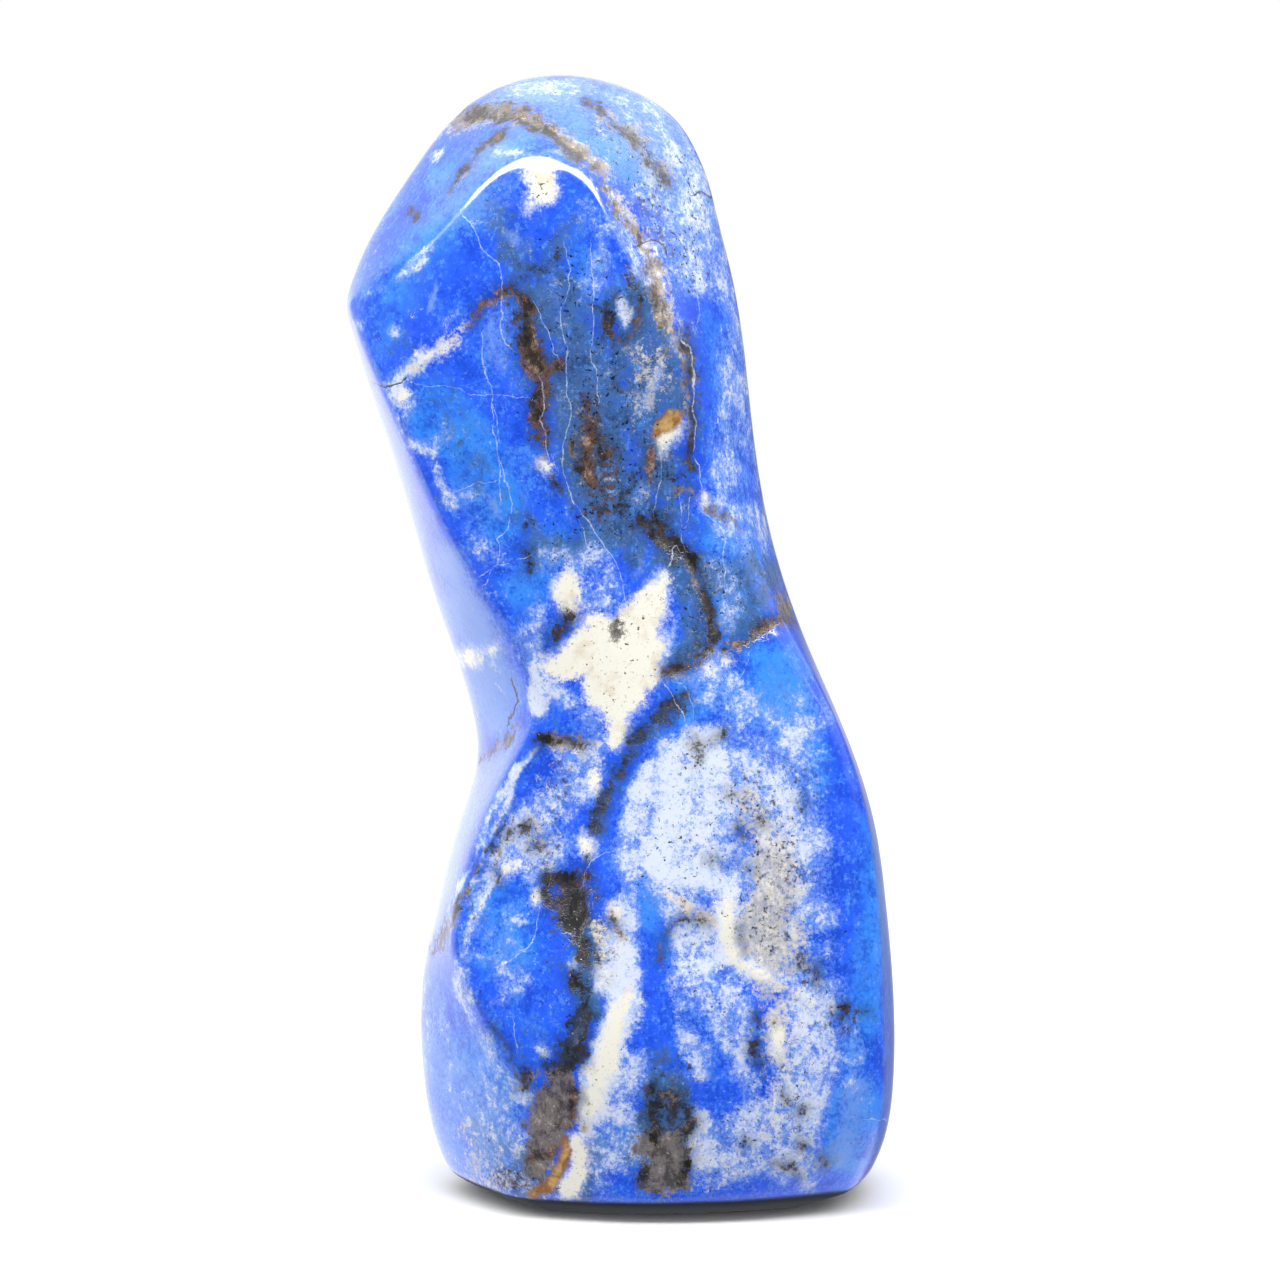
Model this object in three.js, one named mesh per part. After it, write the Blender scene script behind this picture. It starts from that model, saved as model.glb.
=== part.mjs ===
// A freeform of lapis lazuli: one stone, ground to flats and rounded ridges,
// polished all over, and standing on a small flat foot.
//
// Millimetres, +Z up. X runs across the stone, the broad face looks along -Y,
// and the origin lies in the foot, under the middle of the stone.
//
// The skin is one closed grid. Its front cell rows cover the broad face, up to
// the ridge that runs all round it. From that ridge the flanks go out to the
// widest line of the stone, its edge, and back in to the rear ridge.

import * as THREE from 'three';
import { mergeVertices } from 'three/addons/utils/BufferGeometryUtils.js';

// ---- Driving dimensions ---------------------------------------------------

const CELLS = { across: 24, deep: 16, high: 46 };

// The left side from foot to tip: a point of the front ridge, and the point
// of the edge that lies beside it. The eighth row is the notch of the waist.
const LEFT_SIDE = [
  { ridge: [-11.4, -15.0, 0.0], edge: [-18.2, -1.0, 0.0] },
  { ridge: [-10.4, -17.0, 7.0], edge: [-21.3, 0.0, 7.0] },
  { ridge: [-10.8, -18.0, 15.5], edge: [-22.7, 1.0, 15.5] },
  { ridge: [-15.4, -16.2, 23.8], edge: [-22.3, 1.5, 23.0] },
  { ridge: [-18.2, -13.5, 30.3], edge: [-20.8, 2.0, 29.0] },
  { ridge: [-16.0, -12.8, 38.8], edge: [-18.9, 3.0, 37.5] },
  { ridge: [-12.2, -13.4, 48.2], edge: [-16.8, 4.0, 44.0] },
  { ridge: [-7.8, -14.6, 56.4], edge: [-15.4, 5.0, 48.2] },
  { ridge: [-13.4, -14.2, 66.2], edge: [-19.4, 5.0, 59.5] },
  { ridge: [-18.7, -13.8, 75.4], edge: [-22.1, 4.5, 70.8] },
  { ridge: [-22.9, -12.9, 85.0], edge: [-25.0, 3.5, 81.2] },
  { ridge: [-26.9, -10.6, 93.8], edge: [-27.9, 1.0, 90.4] },
  { ridge: [-28.9, -7.0, 98.8], edge: [-29.9, -2.0, 98.4] },
];

// The right side, at the same levels.
const RIGHT_SIDE = [
  { ridge: [24.2, -12.8, 0.0], edge: [27.2, -1.0, 0.0] },
  { ridge: [28.2, -15.0, 7.5], edge: [30.2, 0.0, 7.0] },
  { ridge: [28.8, -15.4, 16.5], edge: [31.0, 0.5, 15.5] },
  { ridge: [28.6, -15.4, 25.0], edge: [30.7, 1.0, 24.5] },
  { ridge: [28.3, -14.9, 33.0], edge: [29.8, 1.0, 33.0] },
  { ridge: [27.5, -14.2, 41.5], edge: [28.7, 1.0, 41.0] },
  { ridge: [25.0, -12.9, 51.5], edge: [25.7, 1.0, 50.3] },
  { ridge: [19.4, -11.0, 62.6], edge: [20.8, 1.0, 61.2] },
  { ridge: [14.0, -11.6, 72.5], edge: [17.3, 1.0, 72.0] },
  { ridge: [9.6, -13.4, 82.0], edge: [15.5, 1.0, 82.4] },
  { ridge: [8.0, -14.5, 91.0], edge: [14.3, 0.5, 94.0] },
  { ridge: [5.0, -14.8, 98.2], edge: [12.8, 0.0, 103.1] },
  { ridge: [2.1, -14.8, 102.6], edge: [10.4, -1.0, 113.0] },
];

// The crown from the tip to the right side: the arched front ridge, and the
// skyline above it. Its first and last rows are the tops of the two sides.
const CROWN = [
  LEFT_SIDE.at(-1),
  { ridge: [-24.9, -10.6, 102.0], edge: [-27.8, -1.0, 105.3] },
  { ridge: [-19.1, -13.2, 106.3], edge: [-22.7, -0.5, 113.2] },
  { ridge: [-13.9, -14.9, 112.4], edge: [-17.4, -0.5, 120.5] },
  { ridge: [-9.0, -15.5, 115.0], edge: [-9.1, -1.0, 123.9] },
  { ridge: [-4.3, -15.5, 113.6], edge: [-0.6, -1.0, 123.2] },
  { ridge: [-1.0, -15.3, 109.0], edge: [6.8, -1.0, 119.4] },
  RIGHT_SIDE.at(-1),
];

// The front and rear lines of the foot, from left to right, between the sides.
const FOOT_FRONT_MIDDLE = [[0.0, -18.4, 0.0], [13.0, -17.4, 0.0]];
const FOOT_BACK_MIDDLE = [[-1.0, 16.0, 0.0], [13.0, 16.5, 0.0]];

// How far the middle of the face stands out past its two side ridges, and
// how deep the rear ridge and the middle of the back lie, from foot to tip.
const FACE_SWELL = [2.6, 3.2, 4.0, 5.0, 5.6, 4.6, 2.9, 1.7, 0.5, 0.1, 0.9, 2.0, 2.2];
const BACK_RIDGE = [11.5, 13.4, 14.6, 15.0, 14.6, 13.6, 12.0, 10.6, 10.2, 10.4, 10.6, 9.8, 8.4];
const BACK_SWELL = 4.2;

// The rear ridge repeats the front one: it lies this share of the way in from
// the edge, and then this far towards the spine, the middle line of the stone.
const BACK_SHARE = 0.55;
const BACK_DRAW_IN = 4.5;
const SPINE = [[4.5, 0, 0], [4.5, 0, 45], [-8, 0, 104]];

// A flank is straight at 1 and a round arc at 2.
const ROUNDNESS = { left: 1.5, right: 1.5, crown: 1.25, rear: 1.9 };

// The foot: its rim is cut back under the stone, by the inset but by no more
// than this share of the way to its heart.
const FOOT_BEVEL = { height: 2.1, inset: 5, share: 0.3, heart: [5, -1] };

// Polish. Every ridge loses a little, and the worn places a lot more.
const POLISH = { passes: 5, rate: 0.3 };
const WORN_PASSES = 14;
const WORN_PLACES = [
  { at: [-9.5, -17.5, 8], radius: 12 },
  { at: [11, -13, 80], radius: 13 },
  { at: [17, -11, 68], radius: 11 },
  { at: [6, -14, 96], radius: 8 },
  { at: [-8, -15.5, 114.5], radius: 3 },
  { at: [6, 8, 106], radius: 12 },
  { at: [28, -14, 3], radius: 8 },
  { at: [-24, 8, 99], radius: 15 },
  { at: [-14, 12, 60], radius: 16 },
  { at: [-14, 14, 16], radius: 18 },
];

// Flats ground into the back, each by its outward direction and its distance
// from the heart of the foot. The grinding rounds the rim of a flat this much.
const GROUND_FLATS = [
  { outward: [-0.36, 0.9, 0.24], distance: 34.5 },
  { outward: [0.42, 0.9, 0.06], distance: 21.4 },
];
const FLAT_RIM = 0.7;

// A shallow flake scar low on the face: deepest along its lower lip, which
// slopes down to the right, and running out above. The lip is this wide.
const FLAKE_SCAR = { x: 14, z: 25.2, halfWidth: 9, height: 10, slope: -0.5, depth: 0.5, lip: 1.6 };

const STONE_BLUE = 0x2456d8;

// ---- Curves and surfaces ---------------------------------------------------

const vectors = (points) => points.map((point) => new THREE.Vector3(...point));
const curve = (points) => new THREE.CatmullRomCurve3(vectors(points), false, 'centripetal');

// A value from a list that is spread evenly over 0 to 1.
function along(values, share) {
  const place = share * (values.length - 1);
  const step = Math.min(Math.floor(place), values.length - 2);
  return THREE.MathUtils.lerp(values[step], values[step + 1], place - step);
}

const spineCurve = vectors(SPINE);

// The point of the spine at a height, or its end above that.
function spineAt(height) {
  const [low, middle, top] = spineCurve;
  const upper = THREE.MathUtils.clamp((height - middle.z) / (top.z - middle.z), 0, 1);
  const place = middle.clone().lerp(top, upper);
  if (height < middle.z) place.set(low.x, low.y, height);
  return place;
}

// The rear ridge beside one row of a side.
function rearPoint({ ridge, edge }, depth) {
  const [front, widest] = vectors([ridge, edge]);
  const rear = widest.clone().lerp(front, BACK_SHARE);
  rear.y = 0;
  rear.add(spineAt(rear.z).sub(rear).setLength(BACK_DRAW_IN));
  return [rear.x, depth, widest.z === 0 ? 0 : rear.z];
}

// The three long lines of a side: front ridge, edge and rear ridge. The
// roundness is that of the flank between the first two.
function sideLines(rows, depths, roundness) {
  const rearRow = (row, index) => rearPoint(row, along(depths, index / (rows.length - 1)));
  return {
    roundness,
    ridge: curve(rows.map((row) => row.ridge)),
    edge: curve(rows.map((row) => row.edge)),
    rear: curve(rows.map(rearRow)),
  };
}

const left = sideLines(LEFT_SIDE, BACK_RIDGE, ROUNDNESS.left);
const right = sideLines(RIGHT_SIDE, BACK_RIDGE, ROUNDNESS.right);
const crown = sideLines(CROWN, [BACK_RIDGE.at(-1), BACK_RIDGE.at(-1)], ROUNDNESS.crown);

const footLine = (line, middle) => new THREE.CatmullRomCurve3(
  [left[line].getPoint(0), ...vectors(middle), right[line].getPoint(0)], false, 'centripetal');
const footFront = footLine('ridge', FOOT_FRONT_MIDDLE);
const footBack = footLine('rear', FOOT_BACK_MIDDLE);

// A point of a flank: reach is -1 on the front ridge, 0 on the edge and 1 on
// the rear ridge.
function flank(side, share, reach) {
  const edge = side.edge.getPoint(share);
  const rim = (reach < 0 ? side.ridge : side.rear).getPoint(share);
  const roundness = reach < 0 ? side.roundness : ROUNDNESS.rear;
  const point = edge.clone().lerp(rim, Math.abs(reach) ** roundness);
  point.y = THREE.MathUtils.lerp(edge.y, rim.y, Math.abs(reach));
  return point;
}

// A surface between four lines that meet at its corners: straight across from
// side to side, and bent near its two ends to meet the low and the high line.
function patch(across, up, sideLow, sideHigh, endLow, endHigh) {
  const straight = (level) => sideLow(level).lerp(sideHigh(level), across);
  const point = straight(up);
  point.addScaledVector(endLow(across).sub(straight(0)), (1 - up) ** 3);
  return point.addScaledVector(endHigh(across).sub(straight(1)), up ** 3);
}

// The broad face or the back: the line names the ridge that bounds it.
function broadSide(line, foot, across, up) {
  const end = (curveThere) => (share) => curveThere.getPoint(share);
  return patch(across, up, end(left[line]), end(right[line]), end(foot), end(crown[line]));
}

function face(across, up) {
  const point = broadSide('ridge', footFront, across, up);
  const middle = 4 * across * (1 - across);
  const inside = (1 - (1 - up) ** 3) * (1 - up ** 3);
  point.y -= along(FACE_SWELL, up) * middle * inside;
  return point;
}

function back(across, up) {
  const point = broadSide('rear', footBack, across, up);
  const middle = 4 * across * (1 - across);
  point.y += BACK_SWELL * middle * (1 - (1 - up) ** 4) * (1 - up ** 4);
  return point;
}

function foot(across, deep) {
  const reach = (share) => 2 * share - 1;
  return patch(across, deep,
    (share) => flank(left, 0, reach(share)), (share) => flank(right, 0, reach(share)),
    (share) => footFront.getPoint(share), (share) => footBack.getPoint(share));
}

// ---- The stone ---------------------------------------------------------------

// Draws the grid lines closer together near the ridges.
const CROWDING = 0.82;
const crowd = (value) => Math.sin(value * CROWDING * Math.PI / 2) / Math.sin(CROWDING * Math.PI / 2);

// The place on the stone of a point of the two-unit cube's skin.
function stonePoint(cubePoint) {
  const [u, w, v] = cubePoint.toArray().map(crowd);
  const across = (u + 1) / 2;
  const up = (v + 1) / 2;
  if (w === -1) return face(across, up);
  if (w === 1) return back(across, up);
  if (v === -1) return foot(across, (w + 1) / 2);
  if (v === 1) return flank(crown, across, w);
  return flank(u < 0 ? left : right, up, w);
}

// The neighbours of every vertex of an indexed geometry.
function neighbours(geometry) {
  const sets = Array.from({ length: geometry.attributes.position.count }, () => new Set());
  const index = geometry.index.array;
  for (let corner = 0; corner < index.length; corner += 3) {
    const triangle = index.slice(corner, corner + 3);
    for (const from of triangle) for (const to of triangle) if (from !== to) sets[from].add(to);
  }
  return sets;
}

// Moves every point above the foot towards the mean of its neighbours, by its
// own rate.
function rub(points, links, rate) {
  const means = links.map((near) => {
    const mean = new THREE.Vector3();
    for (const other of near) mean.add(points[other]);
    return mean.divideScalar(near.size);
  });
  points.forEach((point, index) => {
    if (point.z > 0) point.lerp(means[index], rate(point));
  });
}

// How worn a place is, from 0 outside the worn places to 1 in their middle.
function wornRate(point) {
  const rates = WORN_PLACES.map(({ at, radius }) => {
    const gap = point.distanceTo(new THREE.Vector3(...at));
    return 1 - THREE.MathUtils.smoothstep(gap, radius * 0.3, radius);
  });
  return 0.5 * Math.max(...rates);
}

function polish(points, links) {
  for (let pass = 0; pass < WORN_PASSES; pass += 1) rub(points, links, wornRate);
  for (let pass = 0; pass < POLISH.passes; pass += 1) rub(points, links, () => POLISH.rate);
}

// Grinds the flats into the back.
function grind(point) {
  for (const { outward, distance } of GROUND_FLATS) {
    const direction = new THREE.Vector3(...outward).normalize();
    const proud = (point.dot(direction) - distance) / FLAT_RIM;
    const cut = FLAT_RIM * Math.log1p(Math.exp(Math.min(proud, 40)));
    if (proud > -6 && point.z > 0) point.addScaledVector(direction, -cut);
  }
}

// Sinks the flake scar into the face.
function scar(point) {
  const { x, z, halfWidth, height, slope, depth, lip } = FLAKE_SCAR;
  const right = point.x - x;
  const high = point.z - z - slope * right;
  const within = 1 - THREE.MathUtils.smoothstep(Math.abs(right) / halfWidth, 0.6, 1);
  const drop = THREE.MathUtils.smoothstep(high, -lip / 2, lip / 2);
  const runOut = 1 - THREE.MathUtils.smoothstep(high, 0, height);
  if (point.y < 0) point.y += depth * within * drop * runOut;
}

// Cuts the rim of the foot back, and lays the foot itself flat at height 0.
function standFlat(point, isFoot) {
  const { height, inset, share, heart } = FOOT_BEVEL;
  if (isFoot) point.z = 0;
  const under = Math.max(0, 1 - point.z / height);
  const inward = new THREE.Vector3(heart[0] - point.x, heart[1] - point.y, 0);
  const room = Math.min(inset, inward.length() * share) * under;
  point.add(inward.setLength(room));
}

function stoneGeometry() {
  const cube = new THREE.BoxGeometry(2, 2, 2, CELLS.across, CELLS.deep, CELLS.high);
  cube.deleteAttribute('normal');
  cube.deleteAttribute('uv');
  const geometry = mergeVertices(cube);
  const position = geometry.attributes.position;
  const cubePoints = Array.from({ length: position.count },
    (_, index) => new THREE.Vector3().fromBufferAttribute(position, index));
  const points = cubePoints.map(stonePoint);
  polish(points, neighbours(geometry));
  points.forEach(grind);
  points.forEach(scar);
  points.forEach((point, index) => standFlat(point, cubePoints[index].z === -1));
  geometry.setFromPoints(points);

  geometry.computeBoundingBox();
  const middle = geometry.boundingBox.getCenter(new THREE.Vector3());
  geometry.translate(-middle.x, -middle.y, 0);
  geometry.computeVertexNormals();
  return geometry;
}

const stone = new THREE.Mesh(stoneGeometry(), new THREE.MeshStandardMaterial({
  color: STONE_BLUE,
  roughness: 0.18,
  metalness: 0.0,
}));
stone.name = 'lapis_stone';

const group = new THREE.Group();
group.add(stone);

export default group;
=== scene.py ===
"""A polished freeform of lapis lazuli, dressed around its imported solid."""

import logging
import math
from dataclasses import dataclass
from enum import Enum

import bmesh
import bpy
import numpy as np
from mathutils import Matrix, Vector, noise


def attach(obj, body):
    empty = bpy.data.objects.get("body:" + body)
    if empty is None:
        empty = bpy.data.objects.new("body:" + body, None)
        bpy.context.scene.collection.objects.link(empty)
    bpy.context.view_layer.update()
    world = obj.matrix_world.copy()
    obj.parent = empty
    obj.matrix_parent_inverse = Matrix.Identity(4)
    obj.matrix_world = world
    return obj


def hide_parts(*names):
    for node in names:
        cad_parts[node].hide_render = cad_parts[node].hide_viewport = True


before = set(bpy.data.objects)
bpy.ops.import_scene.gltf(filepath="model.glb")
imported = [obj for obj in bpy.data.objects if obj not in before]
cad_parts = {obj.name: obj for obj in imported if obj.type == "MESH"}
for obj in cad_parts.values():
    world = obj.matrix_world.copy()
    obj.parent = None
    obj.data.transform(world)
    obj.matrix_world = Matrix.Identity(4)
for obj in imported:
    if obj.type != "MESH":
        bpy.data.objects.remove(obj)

LOG = logging.getLogger("lapis")
MM = 0.001
NODE = "lapis_stone"
BODY = "root"
SHADED_FOOT = "shaded_foot"     # the attribute of the foot's downward-facing underside, which is painted near-black as shade
HERE = "_here"    # ends the name of the attribute that says where a crack is drawn
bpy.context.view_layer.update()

Colour = tuple[float, float, float, float]
Disc = tuple[float, float, float]


class Mineral(Enum):
    """A mineral that shows on the polished surface; its value names the mesh attribute.

    RISE is no mineral: it is a small rise or dip of the surface itself, in mm.
    """

    CALCITE = "calcite"
    BROWN = "brown"
    RUST = "rust"
    GOLD = "gold"
    OCHRE = "ochre"
    TAUPE = "taupe"
    INK = "ink"
    FROST = "frost"
    AZURE = "azure"
    STEEL = "steel"
    MILK = "milk"
    MOTTLE = "mottle"
    DUN = "dun"
    GRIT = "grit"
    RISE = "rise"
    PEPPER = "pepper"


CRISP = (Mineral.CALCITE, Mineral.BROWN, Mineral.RUST, Mineral.GOLD, Mineral.OCHRE,
         Mineral.TAUPE, Mineral.INK)
SHOWN = tuple(mineral for mineral in Mineral if mineral is not Mineral.RISE)
FIELD_REACH = 3.0   # mm, how far from a crisp mineral's edge its field still counts


class Crack(Enum):
    """A family of healed cracks; lines of one family stay well apart from each other."""

    UP_LEFT = "crack_a"
    UP_RIGHT = "crack_b"
    ACROSS = "crack_c"
    STAINED = "crack_d"


@dataclass(frozen=True)
class Mark:
    """A patch or streak of one mineral, as a chain of discs in front-view millimetres.

    A crisp mineral is there inside the chain. A soft one is laid on at the given
    strength, and its edge fades over the given width.
    """

    name: str
    discs: tuple[Disc, ...]
    strength: float = 1.0
    soft: float = 1.0

    def inside(self, places: np.ndarray) -> np.ndarray:
        """Works out how deep each place lies inside the chain of discs.

        Args:
            places: Front-view places in millimetres, one row each.

        Returns:
            The depth below the chain's edge in millimetres, negative outside.
        """
        chain = np.array(self.discs)
        if len(chain) == 1:
            return chain[0, 2] - np.hypot(*(places - chain[0, :2]).T)
        depth = np.full(len(places), -np.inf)
        for start, end in zip(chain[:-1], chain[1:]):
            along = end[:2] - start[:2]
            share = np.clip((places - start[:2]) @ along / max(along @ along, 1e-9), 0, 1)
            gap = places - start[:2] - share[:, None] * along
            radius = start[2] + share * (end[2] - start[2])
            depth = np.maximum(depth, radius - np.hypot(*gap.T))
        return depth


@dataclass(frozen=True)
class CrackLine:
    """One thin healed crack, as a line in front-view millimetres."""

    name: str
    points: tuple[tuple[float, float], ...]

    def across(self, places: np.ndarray) -> tuple[np.ndarray, np.ndarray]:
        """Measures each place against the line.

        Args:
            places: Front-view places in millimetres, one row each.

        Returns:
            The distance with its side as a sign, and the plain distance.
        """
        line = np.array(self.points)
        best = np.full(len(places), np.inf)
        signed = np.full(len(places), np.inf)
        for start, end in zip(line[:-1], line[1:]):
            along = end - start
            rest = places - start
            share = np.clip(rest @ along / max(along @ along, 1e-9), 0, 1)
            reach = np.hypot(*(rest - share[:, None] * along).T)
            side = np.sign(along[0] * rest[:, 1] - along[1] * rest[:, 0])
            nearer = reach < best
            best = np.where(nearer, reach, best)
            signed = np.where(nearer, side * reach, signed)
        return signed, best


# A disc is its place across and up, then its radius, in front-view millimetres.
MARKINGS: dict[Mineral, tuple[Mark, ...]] = {}
MARKINGS[Mineral.AZURE] = (
    Mark("upper left azure", ((-20.1, 106.5, 2.2), (-24.5, 101.5, 2), (-25.6, 95.5, 1.5)), 0.55, 2),
    Mark("left azure sheet", ((-21.2, 86.7, 2.9), (-16.8, 82.3, 2.9), (-13.5, 74.6, 2.4)), 0.85, 2.2),
    Mark("middle azure", ((-11.3, 66.9, 2), (-6.9, 71.8, 1.8), (-2.5, 72.4, 1.5)), 0.8, 2),
    Mark("waist azure", ((11.2, 72.9, 2.2), (12.8, 70.2, 2.4), (11.7, 63.6, 2.6)), 0.85, 2.2),
    Mark("below waist azure", ((7.3, 55.9, 1.8), (15, 55.9, 3.3), (17.2, 52.6, 2)), 0.8, 2.2),
    Mark("shoulder azure", ((16.1, 59.2, 2.4), (20.5, 50.4, 1.5), (21.1, 46, 1.5)), 0.8, 1.8),
    Mark("right rim azure", ((26.9, 40.5, 0.88), (27.8, 32.8, 1.3), (26.9, 21.8, 1.8),
        (24.9, 15.2, 1.1)), 0.8, 1.8),
    Mark("front band azure", ((3.5, 37.2, 1.5), (2.9, 30.6, 1.3), (4.9, 26.8, 0.88)), 0.75, 1.5),
    Mark("stringer azure", ((8.4, 54.8, 1.5), (4, 48.2, 1.1), (1.8, 44.9, 0.88)), 0.7, 1.3),
    Mark("lower left azure", ((-13.5, 32.8, 2.9), (-11.3, 27.3, 1.8), (-15.7, 26.2, 1.1)), 0.6, 2.2),
    Mark("left foot azure", ((-16.8, 15.2, 2.6), (-13.5, 10.8, 2.4)), 0.9, 2),
    Mark("foot azure", ((-2.5, 6.5, 1.5), (-0.4, 7.5, 1.8), (0.7, 5.4, 1.1)), 0.7, 1.8),
    Mark("right strip azure", ((10.1, 95.5, 1.5), (11.7, 85.6, 2), (12.3, 76.8, 2),
        (13.4, 70.2, 1.5)), 0.5, 2.2),
    Mark("cap azure", ((-16.8, 109.7, 2.4), (-20.1, 113, 1.5), (-11.3, 116.3, 1.5), (-0.4, 115.2, 2.9),
        (7.3, 110.8, 2.2)), 0.7, 2.2),
    Mark("upper face azure", ((-4.2, 104.3, 2.4), (-3.6, 99.9, 2)), 0.5, 2.2),
    Mark("right lower azure", ((25.8, 10.8, 2.6), (24.5, 5.4, 2.2)), 1, 1.5),
)
MARKINGS[Mineral.STEEL] = (
    Mark("crown steel", ((-13.5, 108.6, 1.1), (-11.9, 103.7, 1.8), (-8.6, 101.5, 2),
        (-6.9, 105.4, 1.3)), 0.6, 1.5),
    Mark("upper steel wide", ((-6.9, 98.8, 4.4), (-1.5, 92.2, 6.2), (0.2, 84.5, 6.6),
        (1.8, 76.8, 5.1)), 0.42, 5.5),
    Mark("upper steel", ((-9.7, 98.8, 1.5), (-6.9, 98.8, 1.8), (-5.3, 94.4, 2), (-4.7, 87.8, 2.4),
        (-3.6, 80.1, 2.9), (-2.5, 76.8, 2.4)), 0.7, 2.6),
    Mark("right steel", ((1.8, 94.4, 1.8), (2.4, 88.9, 1.5), (3.5, 84.5, 1.1), (4.6, 79, 1.8),
        (2.9, 76.8, 2.2)), 0.6, 1.8),
    Mark("lower steel", ((-9.1, 71.8, 1.8), (-5.8, 71.3, 2), (-0.4, 73.5, 2.2),
        (1.8, 70.7, 1.3)), 0.55, 1.8),
    Mark("waist steel", ((9, 69.1, 1.5), (13.4, 68, 2.9), (15.6, 68.5, 1.8), (12.8, 63.6, 2.2)), 0.6, 1.8),
    Mark("vein steel", ((5.4, 70.2, 1.3), (7.3, 65.8, 1.5), (7.3, 61.4, 1.5), (5.7, 59.2, 1.1)), 0.6, 1.1),
    Mark("stringer steel", ((7.3, 54.3, 1.3), (4.6, 52.4, 1.3), (1.8, 49.9, 1.1), (-0.9, 44.9, 0.99),
        (-2.5, 40.5, 0.88)), 0.3, 1.8),
    Mark("stem steel", ((-3.6, 29.5, 1.3), (-4.2, 24, 1.5), (-3.6, 20.7, 1.3)), 0.8, 1.1),
    Mark("foot steel", ((3.8, 15.7, 1.1), (4.9, 12.6, 1.5), (4.9, 9.2, 1.8), (1.8, 5.4, 1.8)), 0.6, 1.5),
    Mark("heel steel", ((-13.5, 4.3, 2.6), (-15.7, 7.5, 1.8), (-10.2, 1.5, 2.2)), 0.55, 1.8),
    Mark("foot left steel", ((-2.5, 5.9, 1.5), (-4.2, 0.4, 1.1)), 0.5, 1.1),
    Mark("grey shoal", ((14.5, 28.4, 2), (17.2, 26.2, 2), (12.8, 30.1, 1.3)), 0.35, 1.5),
    Mark("right window steel", ((21.6, 25.1, 1.3), (22.2, 20.7, 1.1)), 0.3, 1.3),
    Mark("foot window steel", ((3.2, 12.8, 1.1), (4.9, 11.7, 1.8), (4.9, 9.5, 2.2), (6.2, 7.8, 1.8),
        (3.6, 7.5, 1.8)), 0.9, 1.5),
    Mark("beige band haze", ((2.9, 90, 1.5), (1.8, 87.8, 1.3)), 0.8, 1.1),
    Mark("right gold steel", ((1.8, 98.8, 2), (4, 94.4, 2), (5.8, 91.1, 1.5), (4.9, 87.8, 1.3)), 0.7, 1.8),
    Mark("left face navy", ((-24.5, 95.5, 1.3), (-20.1, 87.8, 1.5), (-16.8, 80.1, 1.3),
        (-11.3, 74.6, 1.5)), 0.22, 1.8),
)
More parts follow.
